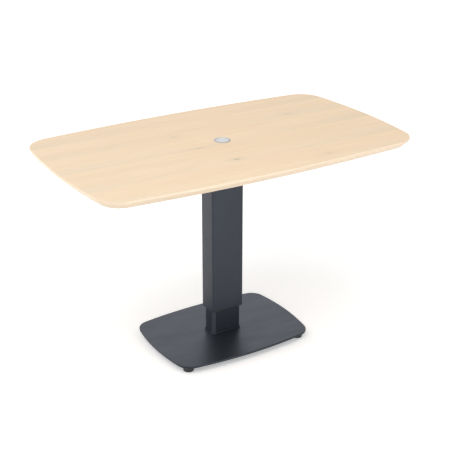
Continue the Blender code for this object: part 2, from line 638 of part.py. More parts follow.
def make_gas_spring():
    """Cylinder on the base, rod on the head plate, and the pin in the rod that unlocks it."""
    bore = CYLINDER_RADIUS - CYLINDER_WALL
    stud_low = BASE_LOW + CYLINDER_STUD_END
    cylinder = [(0, CYLINDER_FLOOR), (bore, CYLINDER_FLOOR), (bore, CYLINDER_HIGH)]
    cylinder += [(CYLINDER_RADIUS, CYLINDER_HIGH), (CYLINDER_RADIUS, CYLINDER_LOW)]
    cylinder.append((CYLINDER_STUD_RADIUS, CYLINDER_LOW))
    cylinder += [(CYLINDER_STUD_RADIUS, stud_low), (0, stud_low)]
    turned("gas_cylinder", cylinder, MIDDLE_ROUND, BLACK_STEEL, BASE)
    stud_bore = circle(CYLINDER_STUD_RADIUS + SEAT_GAP, SMALL_ROUND)
    nut_high = FLANGE_LOW - SEAT_GAP
    nut_low = nut_high - CYLINDER_NUT_HEIGHT
    plate("gas_cylinder_nut", [hexagon(CYLINDER_NUT_FLATS), stud_bore], nut_low, nut_high, ZINC, BASE)

    rod_bore = ROD_RADIUS + SEAT_GAP
    seat = CYLINDER_HIGH + SEAT_GAP
    guide = [(CYLINDER_RADIUS, seat + GUIDE_RIM), (CYLINDER_RADIUS, seat), (bore - SEAT_GAP, seat)]
    guide += [(bore - SEAT_GAP, GUIDE_LOW), (rod_bore, GUIDE_LOW), (rod_bore, seat + GUIDE_RIM)]
    turned("gas_rod_guide", guide, MIDDLE_ROUND, BLACK_PLASTIC, BASE, ring=True)

    skirt = bore - SEAT_GAP
    socket_floor = PISTON_HIGH - PISTON_SOCKET
    third = PISTON_HEIGHT / 3
    piston = [(0, socket_floor), (rod_bore, socket_floor), (rod_bore, PISTON_HIGH), (skirt, PISTON_HIGH)]
    piston += [(skirt, PISTON_HIGH - third), (skirt - PISTON_GROOVE, PISTON_HIGH - third)]
    piston += [(skirt - PISTON_GROOVE, PISTON_LOW + third), (skirt, PISTON_LOW + third)]
    piston += [(skirt, PISTON_LOW), (0, PISTON_LOW)]
    turned("gas_piston", piston, MIDDLE_ROUND, ZINC, LIFT)

    pin_bore = PIN_RADIUS + SEAT_GAP
    rod = [(0, PIN_BORE_LOW), (pin_bore, PIN_BORE_LOW), (pin_bore, ROD_HIGH), (ROD_RADIUS, ROD_HIGH)]
    rod += [(ROD_RADIUS, ROD_LOW), (0, ROD_LOW)]
    turned("gas_rod", rod, SMALL_ROUND, CHROME, LIFT)
    nut_outlines = [hexagon(ROD_NUT_FLATS), circle(rod_bore, SMALL_ROUND)]
    plate("rod_nut_upper", nut_outlines, ROD_NUT_LOW, ROD_NUT_LOW + ROD_NUT_HEIGHT, ZINC, LIFT)
    lower_high = HEAD_LOW - SEAT_GAP
    plate("rod_nut_lower", nut_outlines, lower_high - ROD_NUT_HEIGHT, lower_high, ZINC, LIFT)

    pin = [(0, PIN_HIGH), (PIN_RADIUS, PIN_HIGH), (PIN_RADIUS, PIN_LOW), (0, PIN_LOW)]
    turned("release_pin", pin, SMALL_ROUND, CHROME, frame("pin_axis", parent=LIFT))


def make_bezel():
    """The sleeve through the top that the button runs in, and the ring nut that clamps it."""
    lip_hole = PLUNGER_RADIUS + BUTTON_GAP
    profile = [(BEZEL_RADIUS - BEZEL_EDGE, BEZEL_HIGH), (BEZEL_RADIUS, BEZEL_HIGH - BEZEL_EDGE)]
    profile += [(BEZEL_RADIUS, BEZEL_SEAT), (SLEEVE_RADIUS, BEZEL_SEAT), (SLEEVE_RADIUS, BEZEL_LOW)]
    profile += [(lip_hole, BEZEL_LOW), (lip_hole, LIP_HIGH)]
    profile += [(BUTTON_BORE, LIP_HIGH), (BUTTON_BORE, BEZEL_HIGH)]
    turned("button_bezel", profile, BIG_ROUND, SILVER, LIFT, ring=True)
    inner = SLEEVE_RADIUS + SEAT_GAP
    outer = inner + RING_NUT_WIDTH
    share = 2 * math.pi / RING_NUT_NOTCHES
    notched = []
    for notch in range(RING_NUT_NOTCHES):
        start = notch * share
        middle = start + share * RING_NUT_LAND
        notched += arc((0, 0), outer, start, middle, ARC_STEPS)
        notched += arc((0, 0), outer - RING_NUT_NOTCH, middle, start + share, NOTCH_STEPS)
    nut_outlines = [notched, circle(inner, BIG_ROUND)]
    plate("bezel_ring_nut", nut_outlines, RING_NUT_LOW, RING_NUT_HIGH, BLACK_PLASTIC, LIFT)


def make_button():
    """The cap that is pressed, the plunger under it and the clip that keeps both in the bezel."""
    socket = NECK_RADIUS + SEAT_GAP
    socket_floor = BOSS_LOW + BOSS_SOCKET
    skirt_low = BUTTON_HIGH - BUTTON_SKIRT
    skirt_in = BUTTON_RADIUS - BUTTON_WALL
    dish = BUTTON_RADIUS - BUTTON_EDGE
    cap = [(0, BUTTON_HIGH + BUTTON_CROWN)]
    for step in range(1, ARC_STEPS):
        share = step / ARC_STEPS
        cap.append((dish * share, BUTTON_HIGH + BUTTON_CROWN * (1 - share**2)))
    cap += [(dish, BUTTON_HIGH), (BUTTON_RADIUS, BUTTON_HIGH - BUTTON_EDGE), (BUTTON_RADIUS, skirt_low)]
    cap += [(skirt_in, skirt_low), (skirt_in, WEB_LOW), (BOSS_RADIUS, WEB_LOW), (BOSS_RADIUS, BOSS_LOW)]
    cap += [(socket, BOSS_LOW), (socket, socket_floor), (0, socket_floor)]
    turned("release_button", cap, BIG_ROUND, SILVER, BUTTON)
    shoulder = BOSS_LOW - SEAT_GAP
    groove = PLUNGER_RADIUS - CLIP_GROOVE
    neck_high = socket_floor - SEAT_GAP
    plunger = [(0, neck_high), (NECK_RADIUS, neck_high), (NECK_RADIUS, shoulder), (PLUNGER_RADIUS, shoulder)]
    plunger += [(PLUNGER_RADIUS, CLIP_HIGH + SEAT_GAP), (groove, CLIP_HIGH + SEAT_GAP)]
    plunger += [(groove, CLIP_LOW - SEAT_GAP), (PLUNGER_RADIUS, CLIP_LOW - SEAT_GAP)]
    plunger += [(PLUNGER_RADIUS, PLUNGER_LOW), (0, PLUNGER_LOW)]
    turned("button_plunger", plunger, MIDDLE_ROUND, BLACK_PLASTIC, BUTTON)
    start = CLIP_MOUTH / 2
    end = 2 * math.pi - start
    clip = arc((0, 0), CLIP_RADIUS, start, end, MIDDLE_ROUND)
    clip += arc((0, 0), groove + SEAT_GAP, end, start, MIDDLE_ROUND)
    plate("plunger_clip", [clip], CLIP_LOW, CLIP_HIGH, ZINC, BUTTON)


def spring_points():
    """Points along the return spring, from the bezel's lip up to the button."""
    low = LIP_HIGH + SEAT_GAP + SPRING_WIRE / 2
    high = WEB_LOW - SEAT_GAP - SPRING_WIRE / 2
    count = SPRING_CURLS * CURL_POINTS
    points = []
    for step in range(count + 1):
        angle = 2 * math.pi * step / CURL_POINTS
        level = low + (high - low) * step / count
        points.append(Vector((SPRING_RADIUS * math.cos(angle), SPRING_RADIUS * math.sin(angle), level)))
    return points


def least_gap(points):
    """The smallest clear space between curls of the wire that follow one another."""
    pairs = zip(points, points[CURL_POINTS:])
    return min((second - first).length for first, second in pairs) - SPRING_WIRE


def make_return_spring():
    curve = bpy.data.curves.new("button_return_spring", "CURVE")
    curve.dimensions = "3D"
    curve.bevel_depth = SPRING_WIRE / 2
    curve.bevel_resolution = 1
    curve.use_fill_caps = True
    points = spring_points()
    spline = curve.splines.new("POLY")
    spline.points.add(len(points) - 1)
    for point, place in zip(spline.points, points):
        point.co = (*place, 1)
    add_piece("button_return_spring", curve, CHROME, LIFT)
    print(f"return spring: least gap between curls {least_gap(points) * 1000:.2f} mm")


empty_scene()
PIECES = new_collection("height_adjustable_table")
CUTTERS = new_collection("cutters")
CUTTERS.hide_render = True

WOOD = finish("pale_wood", (0.86, 0.70, 0.52), 0.45)
COATED_STEEL = finish("charcoal_powder_coat", (0.075, 0.080, 0.092), 0.42)
BLACK_STEEL = finish("black_steel", (0.02, 0.02, 0.022), 0.35, 0.3)
BLACK_PLASTIC = finish("black_plastic", (0.018, 0.018, 0.020), 0.55)
ZINC = finish("zinc_plated_steel", (0.55, 0.55, 0.53), 0.38, 1.0)
CHROME = finish("chromed_steel", (0.70, 0.71, 0.72), 0.12, 1.0)
SILVER = finish("satin_silver", (0.80, 0.80, 0.79), 0.28, 1.0)

BASE = frame("base_frame")
LIFT = frame("lift_axis")
BUTTON = frame("button_axis", parent=LIFT)

make_table_top()
make_base()
make_feet()
make_inner_column()
make_outer_column()
make_bushes()
make_rails()
make_top_screws()
make_gas_spring()
make_bezel()
make_button()
make_return_spring()
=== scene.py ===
import json
import math

import bmesh
import bpy
from mathutils import Matrix, Vector


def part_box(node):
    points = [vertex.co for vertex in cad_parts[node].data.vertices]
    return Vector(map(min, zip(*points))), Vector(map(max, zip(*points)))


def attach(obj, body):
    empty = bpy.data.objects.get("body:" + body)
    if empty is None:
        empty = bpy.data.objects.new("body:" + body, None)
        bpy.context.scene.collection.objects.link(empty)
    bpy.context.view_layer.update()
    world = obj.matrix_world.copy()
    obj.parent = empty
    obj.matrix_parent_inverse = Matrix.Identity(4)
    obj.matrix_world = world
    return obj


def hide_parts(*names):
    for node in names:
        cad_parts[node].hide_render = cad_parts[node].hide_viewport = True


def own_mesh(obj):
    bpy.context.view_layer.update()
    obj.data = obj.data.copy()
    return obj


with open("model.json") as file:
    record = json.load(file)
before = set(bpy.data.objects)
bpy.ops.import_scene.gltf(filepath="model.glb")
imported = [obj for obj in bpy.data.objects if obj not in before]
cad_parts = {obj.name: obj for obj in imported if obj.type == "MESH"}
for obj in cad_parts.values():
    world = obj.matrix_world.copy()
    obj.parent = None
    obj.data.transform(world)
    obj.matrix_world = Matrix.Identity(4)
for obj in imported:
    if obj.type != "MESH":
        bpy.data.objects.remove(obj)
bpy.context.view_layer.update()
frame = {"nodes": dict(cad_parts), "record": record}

# Camera
VIEW_AZIMUTH = math.radians(-31.398)
VIEW_ELEVATION = math.radians(23.457)
VIEW_DISTANCE = 3.6053
VIEW_TARGET = Vector((0.0061, -0.0142, 0.4338))
LENS_MM = 83.006
SENSOR_MM = 36.0

# Clearance between pieces that meet
FIT_GAP = 0.0003

# Table top
TOP_LONG_BOW = 0.029
TOP_SHORT_BOW = 0.027
TOP_CORNER = 0.090
TOP_EDGE = 0.002
TOP_BEVEL = 0.020
BEVEL_EASE = 0.0012
BUTTON_HOLE = 0.0252

# Base plate
BASE_BOW = 0.021
BASE_CORNER = 0.053
BASE_EDGE = 0.0012
NUT_POCKET = 0.0123
STUD_HOLE = 0.0043
STUD_HOLE_DEPTH = 0.006
UPPER_FACE = 0.9  # least rise of the normal on the plate's upper face

# Columns
INNER_CORNER = 0.010
OUTER_CORNER = 0.004
COLUMN_WALL = 0.0025
TUBE_RIM = 0.0004
FLANGE_CORNER = 0.0133
FLANGE_EDGE = 0.0004
CYLINDER_STUD = 0.005
BUSH_RIM = 0.002
BUSH_EDGE = 0.0006

# Weld bead under the head plate
BEAD_LEG = 0.0024
BEAD_SPACING = 0.001
BEAD_PITCH = 0.0042
BEAD_RIPPLE = 0.10
BEAD_SINK = 0.0004

# Head plate and rails
HEAD_CORNER = 0.015
HEAD_EDGE = 0.0008
RAIL_CORNER = 0.003
RAIL_WALL = 0.002
CAP_EDGE = 0.0009
CAP_THICKNESS = 0.0025
ALONG_X = Matrix(((0, 0, 1, 0), (1, 0, 0, 0), (0, 1, 0, 0), (0, 0, 0, 1)))  # lays an upright shape down

# Feet
FOOT_CORNERS = ("front_left", "front_right", "rear_left", "rear_right")
PAD_WALL = 0.005
PAD_SEAT = 0.012
PAD_FLOOR = 0.004
PAD_EDGE = 0.0018

# Button, bezel, ring nut and return spring
BEZEL_BORE = 0.0227
BEZEL_LIP = 0.0065
BEZEL_LIP_THICKNESS = 0.003
BEZEL_SHOULDER = 0.0003
BEZEL_ROUND = 0.0014
BEZEL_LEAD = 0.0004
SLEEVE_RADIUS = 0.0249
BUTTON_WEB = 0.0025
BUTTON_WALL = 0.002
BUTTON_SKIRT = 0.012
BUTTON_EDGE = 0.0005
BUTTON_CROWN = 0.0005
BOSS_RADIUS = 0.007
BOSS_LENGTH = 0.010
BOSS_SOCKET = 0.009
BOSS_BORE = 0.0043
RING_NUT_NOTCHES = 6
RING_NUT_NOTCH = 0.0025
RING_NUT_LAND = 0.75
RING_NUT_EDGE = 0.0006
SPRING_RADIUS = 0.0135
SPRING_WIRE = 0.0016
SPRING_CURLS = 5

# Screws
TOP_SCREW_COUNT = 8
TOP_SCREWS = [f"top_screw_{number}" for number in range(1, TOP_SCREW_COUNT + 1)]
TOP_SCREW_HEX = 0.004
TOP_SCREW_SOCKET = 0.0018
TOP_SCREW_FACE = 0.0038
TOP_SCREW_HEAD = 0.005
TOP_SCREW_HEAD_HEIGHT = 0.003
TOP_SCREW_SHANK = 0.0025
TOP_SCREW_POINT = 0.004
FLANGE_SCREW_COUNT = 4
FLANGE_SCREWS = [f"flange_screw_{number}" for number in range(1, FLANGE_SCREW_COUNT + 1)]
FLANGE_SCREW_HEX = 0.005
FLANGE_SCREW_SOCKET = 0.0025
FLANGE_SCREW_HEAD = 0.0078
FLANGE_SCREW_SHANK = 0.004
FLANGE_SCREW_RIM = 0.0003

# Fineness
BOW_STEPS = 28
PLATE_CORNER_STEPS = 16
TUBE_CORNER_STEPS = 10
ROUND_STEPS = 72
SMALL_STEPS = 36
EDGE_STEPS = 8
FINE_EDGE_STEPS = 4
EDGE_FLAT = 0.0015  # a narrow flat beside a rounded edge, which keeps the wide face's shading flat
SHARP_ANGLE = math.radians(32)
CUT_MARGIN = 0.002

# Wood, with the boards of the top from rear to front
BOARD_REAR = 0.360
BOARD_JOINTS = (0.236, 0.104, -0.035, -0.213)
BOARD_FRONT = -0.360
# each board's own tone, rear to front, with painted light making the front boards a little paler
BOARD_TONES_AND_LIGHT = (0.985, 1.0, 1.005, 1.0, 1.015)
BOARD_JUMP = 37.0  # sets the figures of the boards apart
BAND_ACROSS = 1.0  # where the grain of the edge starts, well clear of the boards
BAND_END = 0.004  # ramp position where the edge ends and the rear board starts
SHADE_START = 0.45  # share of a board's width before it starts to darken
JOINT_WIDTH = 0.0015  # in ramp positions
FIGURE_PER_METRE = (1.3, 17.0)  # along and across the grain
FINE_PER_METRE = (7.0, 330.0)
PORES_PER_METRE = (55.0, 1500.0)
STREAKS_PER_METRE = (3.5, 1.0)
FIGURE_SPREAD = (0.30, 0.72)  # the values of the noise between which it shows
FINE_SPREAD = (0.35, 0.72)
PORE_SPREAD = (0.60, 0.74)
STREAK_SPREAD = (0.32, 0.62)
FINE_SHARE = 0.65
PORE_SHARE = 0.22
STREAK_SHARE = (0.25, 1.0)
GREYING_REACH = (0.10, 0.52)  # from the middle of the table, where the greying grows
GREYING_SHARE = (0.25, 0.9)
LEFT_END_LIGHT_REACH = (0.10, -0.50)  # along X, where the painted light that makes the left end paler and cooler grows
PALE_WOOD = (0.882, 0.681, 0.478)
WARM_WOOD = (0.830, 0.626, 0.427)
FINE_COLOUR = (0.755, 0.563, 0.364)
PORE_COLOUR = (0.520, 0.370, 0.222)
KNOT_COLOUR = (0.330, 0.285, 0.215)
GREYING_TINT = (0.905, 0.970, 1.0)
EDGE_TINT = (0.975, 1.035, 1.12)
# painted light: the left end paler and cooler, as if lit more strongly from the left
LEFT_END_LIGHT_TINT = (0.995, 1.012, 1.035)
FINE_GLOSS_SPREAD = (0.3, 0.8)
WOOD_ROUGHNESS = (0.42, 0.54)
FINE_RELIEF = 0.6  # of the depth of a pore

# Knots
KNOTS = (  # place along X and Y, half length, half width, strength
    (-0.057, -0.184, 0.017, 0.010, 0.60),
    (-0.106, -0.030, 0.040, 0.007, 0.45),
    (-0.124, 0.114, 0.016, 0.012, 0.25),
    (0.353, 0.130, 0.022, 0.010, 0.35),
    (0.229, -0.288, 0.026, 0.014, 0.22),
)
KNOT_RAGGED = (0.75, 1.25)
KNOT_CORE = (1.1, 0.0)  # in half sizes from a knot's middle, where its core grows
KNOT_HALO = (3.2, 0.4)
KNOT_HALO_SHARE = 0.22
KNOT_BEND = (3.5, 0.3)  # where the grain bends round a knot
KNOT_PUSH = 0.55

# Paint
PAINT_TINT = (0.76, 0.83, 1.0, 1.0)
PAINT_GLOSS = 0.49
PAINT_ROUGHNESS = (0.42, 0.50)
PAINT_DARK = (0.0095, 0.0115, 0.0150)
PAINT_PALE = (0.0115, 0.0138, 0.0178)
PAINT_SPECK = (0.028, 0.032, 0.039)
SPECK_SPREAD = (0.62, 0.75)
SPECK_SHARE = 0.35
SMEAR_SPREAD = (0.25, 0.75)
PEEL_DEPTH = 0.00010
INNER_GLOSS = 0.38
INNER_ROUGHNESS = (0.29, 0.35)
PAINTED_SHEEN_SPREAD = 0.08  # share of the painted highlight's paler colour that reaches past the corners
# painted highlight: the paler, bluer colour of the strip along the inner tube's corners
PAINTED_SHEEN_COLOUR = (0.046, 0.051, 0.062)
PAINTED_SHEEN_BLEND = 0.0006
PLATE_TINT = (0.655, 0.755, 0.935, 1.0)
PLATE_GLOSS = 0.95
PLATE_IOR = 1.58
PLATE_ROUGHNESS = (0.36, 0.45)
PLATE_PALE = (0.0075, 0.0089, 0.0118)
PLATE_DARK = (0.0020, 0.0024, 0.0032)
PLATE_STREAKS_PER_METRE = (5.0, 16.0)  # along X and Y
PLATE_STREAK_SPREAD = (0.35, 0.65)
PLATE_STREAK_RELIEF = 3.0  # of the depth of the orange peel
CYLINDER_DARK = (0.010, 0.010, 0.011)
CYLINDER_PALE = (0.020, 0.020, 0.022)
CYLINDER_ROUGHNESS = (0.20, 0.30)

# Plastic and metal
NOISE_SPREAD = (0.3, 0.7)  # between which most values of a noise lie
PLASTIC_CLOUD = 1.5  # how much paler the clouds in the plastic are
PLASTIC_SPREAD = (0.3, 0.75)
SCRATCH_SQUEEZE = 30.0  # how much closer the scratches lie along Z
TURNED_SHADE = 0.90  # how dark the clouds on turned metal are
# painted shade: how wide, how strong and how dark the darkening at a turned piece's rim is
RIM_SHADE_WIDTH = 0.0012
RIM_SHADE_SHARE = 0.7
RIM_SHADE_COLOUR = (0.22, 0.22, 0.21)

# Light
WORLD_LIGHT = 0.46
FLOOR_SIZE = 80.0
FLOOR_TONE = 0.92
FLOOR_REACH = (0.8, 2.6)  # from the object, where the floor's own glow grows
FLOOR_LIFT = (0.36, 0.58)
LAMP_AIM = (0.0, 0.0, 0.6)
LAMPS = (  # name, place, width, height and watts
    ("key_light", (-3.0, -2.0, 3.9), 2.6, 2.6, 60.0),
    ("fill_light", (1.8, -3.4, 4.0), 2.4, 2.4, 22.0),
    ("rear_light", (-1.8, 3.3, 3.0), 2.0, 2.0, 20.0),
    ("overhead_light", (-0.5, -0.6, 4.4), 3.0, 3.0, 54.5),
    ("front_edge_light", (0.5, -3.6, 0.28), 2.4, 0.44, 43.0),
    ("side_edge_light", (-4.9, 3.2, 0.62), 2.4, 1.0, 112.0),
)


class Shader:
    """A Principled material, with short calls for the nodes that feed it."""

    def __init__(self, name, **values):
        self.material = bpy.data.materials.new(name)
        self.material.use_nodes = True
        self.tree = self.material.node_tree
        self.surface = self.tree.nodes["Principled BSDF"]
        for socket, value in values.items():
            self.surface.inputs[socket.replace("_", " ")].default_value = value

    def feed(self, socket, value):
        if isinstance(value, bpy.types.NodeSocket):
            self.tree.links.new(value, socket)
        else:
            socket.default_value = value

    def add(self, kind, **settings):
        node = self.tree.nodes.new(kind)
        for setting, value in settings.items():
            setattr(node, setting, value)
        return node

    def feeding(self, kind, value):
        """A new node with a value fed to its first socket."""
        node = self.add(kind)
        self.feed(node.inputs[0], value)
        return node

    def maths(self, operation, first, second=0.0):
        node = self.add("ShaderNodeMath", operation=operation)
        self.feed(node.inputs[0], first)
        self.feed(node.inputs[1], second)
        return node.outputs[0]

    def distance(self, first, second):
        """How far from the origin a point with two coordinates lies."""
        squares = [self.maths("POWER", part, 2.0) for part in (first, second)]
        return self.maths("SQRT", self.maths("ADD", *squares))

    def fit(self, value, low, high, new_low=0.0, new_high=1.0, smooth=False):
        """Maps one range of a number onto another, and holds it there."""
        node = self.add("ShaderNodeMapRange")
        node.interpolation_type = "SMOOTHSTEP" if smooth else "LINEAR"
        for socket, number in zip(node.inputs, (value, low, high, new_low, new_high)):
            self.feed(socket, number)
        return node.outputs[0]

    def mix(self, share, first, second, blend="MIX"):
        """Mixes two colours. The node has other sockets too, for numbers and vectors."""
        node = self.add("ShaderNodeMix", data_type="RGBA", blend_type=blend)
        self.feed(node.inputs[0], share)
        for socket, colour in ((node.inputs[6], first), (node.inputs[7], second)):
            self.feed(socket, (*colour, 1.0) if isinstance(colour, tuple) else colour)
        return node.outputs[2]

    def place(self):
        """Where a point lies on its piece, in metres."""
        return self.add("ShaderNodeTexCoord").outputs["Object"]

    def parts(self, vector):
        return self.feeding("ShaderNodeSeparateXYZ", vector).outputs

    def vector(self, *numbers):
        node = self.add("ShaderNodeCombineXYZ")
        for socket, number in zip(node.inputs, numbers):
            self.feed(socket, number)
        return node.outputs[0]

    def stretched(self, first, second, third, per_metre):
        """A place whose first two parts are scaled."""
        scaled = [self.maths("MULTIPLY", part, scale) for part, scale in zip((first, second), per_metre)]
        return self.vector(*scaled, third)

    def noise(self, vector, scale=1.0, detail=2.0, roughness=0.5, distortion=0.0):
        node = self.add("ShaderNodeTexNoise")
        self.feed(node.inputs["Vector"], vector)
        node.inputs["Scale"].default_value = scale
        node.inputs["Detail"].default_value = detail
        node.inputs["Roughness"].default_value = roughness
        node.inputs["Distortion"].default_value = distortion
        return node.outputs[0]

    def ramp(self, value, stops, interpolation="LINEAR"):
        """A colour ramp through (position, colour) stops."""
        node = self.feeding("ShaderNodeValToRGB", value)
        node.color_ramp.interpolation = interpolation
        elements = node.color_ramp.elements
        while len(elements) < len(stops):
            elements.new(1.0)
        for element, (position, colour) in zip(elements, stops):
            element.position = position
            element.color = (*colour, 1.0)
        return node.outputs[0]

    def set_colour(self, colour):
        self.feed(self.surface.inputs["Base Color"], colour)

    def set_roughness(self, noise, spread, between):
        """Lets a noise swing the roughness between two values."""
        self.feed(self.surface.inputs["Roughness"], self.fit(noise, *spread, *between))

    def bump(self, height, distance, strength):
        node = self.add("ShaderNodeBump")
        node.inputs["Strength"].default_value = strength
        node.inputs["Distance"].default_value = distance
        self.feed(node.inputs["Height"], height)
        self.feed(self.surface.inputs["Normal"], node.outputs[0])


def board_stops():
    """Ramp stops for the boards' numbers and tones, painted light that makes the front boards paler
    included, with 1 in blue for the edge, and for how dark each board gets towards its front joint."""
    width = BOARD_REAR - BOARD_FRONT
    lines = [(BOARD_REAR - line) / width for line in (BOARD_REAR, *BOARD_JOINTS, BOARD_FRONT)]
    lines[0] = BAND_END
    tones_and_light = [(0.0, (0.0, 1.0, 1.0))]
    shades = [(0.0, (0.0, 0.0, 0.0))]
    for number, (rear, front) in enumerate(zip(lines, lines[1:]), 1):
        tones_and_light.append((rear, (number / len(lines), BOARD_TONES_AND_LIGHT[number - 1], 0.0)))
        shades.append((rear, (0.0, 0.0, 0.0)))
        shades.append((rear + (front - rear) * SHADE_START, (0.0, 0.0, 0.0)))
        shades.append((front - JOINT_WIDTH, (1.0, 1.0, 1.0)))
    return tones_and_light, shades


def lay_knots(shader, grain, along, across):
    """How strongly a knot shows at a point, and its place across the grain, which bends round the knots."""
    uneven = shader.fit(shader.noise(grain, scale=60.0), *NOISE_SPREAD, *KNOT_RAGGED)
    knots = 0.0
    for x, y, half_length, half_width, strength in KNOTS:
        over = shader.maths("DIVIDE", shader.maths("SUBTRACT", along, x), half_length)
        aside = shader.maths("SUBTRACT", across, y)
        beside = shader.maths("DIVIDE", aside, half_width)
        ragged = shader.maths("MULTIPLY", shader.distance(over, beside), uneven)
        core = shader.fit(ragged, *KNOT_CORE, 0.0, strength, smooth=True)
        halo = shader.fit(ragged, *KNOT_HALO, 0.0, strength * KNOT_HALO_SHARE, smooth=True)
        knots = shader.maths("MAXIMUM", knots, shader.maths("MAXIMUM", core, halo))
        push = shader.fit(ragged, *KNOT_BEND, 0.0, KNOT_PUSH, smooth=True)
        across = shader.maths("SUBTRACT", across, shader.maths("MULTIPLY", aside, push))
    return knots, across


def wood():
    """Pale boards with fine grain and pores, darker and greyer towards one joint, with a few small knots,
    and with painted light that makes the front boards and the left end a little paler.
    """
    shader = Shader("pale_wood")
    grain = shader.add("ShaderNodeAttribute", attribute_name="grain").outputs["Vector"]
    along, across = shader.parts(grain)[:2]
    position = shader.fit(across, BOARD_REAR, BOARD_FRONT)
    tones_and_light, shades = board_stops()
    number, tone_and_light, edge = shader.parts(shader.ramp(position, tones_and_light, "CONSTANT"))
    shade = shader.ramp(position, shades)
    knots, across = lay_knots(shader, grain, along, across)

    jump = shader.maths("MULTIPLY", number, BOARD_JUMP)
    figure_place = shader.stretched(along, across, jump, FIGURE_PER_METRE)
    figure = shader.noise(figure_place, detail=5.0, roughness=0.55, distortion=0.7)
    fine = shader.noise(shader.stretched(along, across, jump, FINE_PER_METRE), detail=4.0, roughness=0.6)
    pores = shader.fit(shader.noise(shader.stretched(along, across, jump, PORES_PER_METRE)), *PORE_SPREAD)
    streaks = shader.noise(shader.stretched(along, across, jump, STREAKS_PER_METRE), detail=3.0)

    colour = shader.mix(shader.fit(figure, *FIGURE_SPREAD), PALE_WOOD, WARM_WOOD)
    colour = shader.mix(shader.fit(fine, *FINE_SPREAD, 0.0, FINE_SHARE), colour, FINE_COLOUR)
    colour = shader.mix(shader.maths("MULTIPLY", pores, PORE_SHARE), colour, PORE_COLOUR)
    greying = shader.maths("MULTIPLY", shade, shader.fit(streaks, *STREAK_SPREAD, *STREAK_SHARE))
    from_middle = shader.maths("ABSOLUTE", along)
    greying = shader.maths("MULTIPLY", greying, shader.fit(from_middle, *GREYING_REACH, *GREYING_SHARE))
    colour = shader.mix(greying, colour, GREYING_TINT, "MULTIPLY")
    # each board's tone, with painted light making the front boards a little paler
    colour = shader.mix(1.0, colour, shader.vector(tone_and_light, tone_and_light, tone_and_light), "MULTIPLY")
    colour = shader.mix(edge, colour, EDGE_TINT, "MULTIPLY")
    # painted light: the left end paler and cooler
    colour = shader.mix(shader.fit(along, *LEFT_END_LIGHT_REACH), colour, LEFT_END_LIGHT_TINT, "MULTIPLY")
    shader.set_colour(shader.mix(knots, colour, KNOT_COLOUR))
    shader.set_roughness(fine, FINE_GLOSS_SPREAD, WOOD_ROUGHNESS)
    relief = shader.maths("SUBTRACT", shader.maths("MULTIPLY", fine, FINE_RELIEF), pores)
    shader.bump(relief, distance=0.00012, strength=0.5)
    return shader.material


def paint_colour(shader, place):
    """Charcoal with a faint cloud and finer specks."""
    cloud = shader.noise(place, scale=11.0, detail=4.0, roughness=0.6)
    speck = shader.noise(place, scale=2600.0)
    colour = shader.mix(shader.fit(cloud, *NOISE_SPREAD), PAINT_DARK, PAINT_PALE)
    return shader.mix(shader.fit(speck, *SPECK_SPREAD, 0.0, SPECK_SHARE), colour, PAINT_SPECK)


def orange_peel(shader, place):
    return shader.noise(place, scale=950.0, detail=3.0, roughness=0.55)


def powder_coat(name, gloss, roughness):
    """Charcoal paint with a fine orange peel and a slightly uneven gloss."""
    shader = Shader(name, Specular_Tint=PAINT_TINT, Specular_IOR_Level=gloss)
    place = shader.place()
    shader.set_colour(paint_colour(shader, place))
    shader.set_roughness(shader.noise(place, scale=24.0, detail=3.0, roughness=0.6), SMEAR_SPREAD, roughness)
    shader.bump(orange_peel(shader, place), distance=PEEL_DEPTH, strength=0.35)
    return shader


def inner_coat():
    """The same paint, smoother, with a painted highlight: a paler, bluer strip along two opposite round
    corners, where a lamp's light would catch them.
    """
    shader = powder_coat("inner_powder_coat", INNER_GLOSS, INNER_ROUGHNESS)
    x, y, _ = shader.parts(shader.place())
    half = size_of("inner_column") / 2
    masks = []
    for part, reach in ((x, half.x), (y, half.y)):
        corner = reach - INNER_CORNER
        masks.append(shader.fit(shader.maths("ABSOLUTE", part), corner, corner + PAINTED_SHEEN_BLEND))
    # The painted highlight goes on the front-left and rear-right corners only.
    near = shader.maths("GREATER_THAN", shader.maths("MULTIPLY", x, y), 0.0)
    painted_sheen = shader.maths("MULTIPLY", near, shader.maths("MULTIPLY", *masks))
    share = shader.fit(painted_sheen, 0.0, 1.0, PAINTED_SHEEN_SPREAD, 1.0)
    plain = shader.surface.inputs["Base Color"].links[0].from_socket
    shader.set_colour(shader.mix(share, plain, PAINTED_SHEEN_COLOUR))
    return shader


def plate_coat():
    """The same paint, glossier, with faint streaks along the plate."""
    shader = Shader(
        "plate_powder_coat", IOR=PLATE_IOR, Specular_Tint=PLATE_TINT, Specular_IOR_Level=PLATE_GLOSS
    )
    place = shader.place()
    streak_place = shader.stretched(*shader.parts(place), PLATE_STREAKS_PER_METRE)
    streaks = shader.noise(streak_place, detail=3.0, roughness=0.6)
    shader.set_colour(shader.mix(shader.fit(streaks, *PLATE_STREAK_SPREAD), PLATE_PALE, PLATE_DARK))
    shader.set_roughness(streaks, NOISE_SPREAD, PLATE_ROUGHNESS)
    relief = shader.maths("MULTIPLY", streaks, PLATE_STREAK_RELIEF)
    relief = shader.maths("ADD", relief, orange_peel(shader, place))
    shader.bump(relief, distance=PEEL_DEPTH, strength=0.30)
    return shader


def moulded_plastic(name, colour, roughness):
    """Plastic with the fine spark texture of its mould."""
    shader = Shader(name)
    place = shader.place()
    spark = shader.noise(place, scale=2200.0, detail=3.0, roughness=0.6)
    cloud = shader.noise(place, scale=45.0, detail=3.0)
    lighter = tuple(PLASTIC_CLOUD * part for part in colour)
    shader.set_colour(shader.mix(shader.fit(cloud, *PLASTIC_SPREAD), colour, lighter))
    shader.set_roughness(spark, NOISE_SPREAD, roughness)
    shader.bump(spark, distance=0.00008, strength=0.5)
    return shader.material


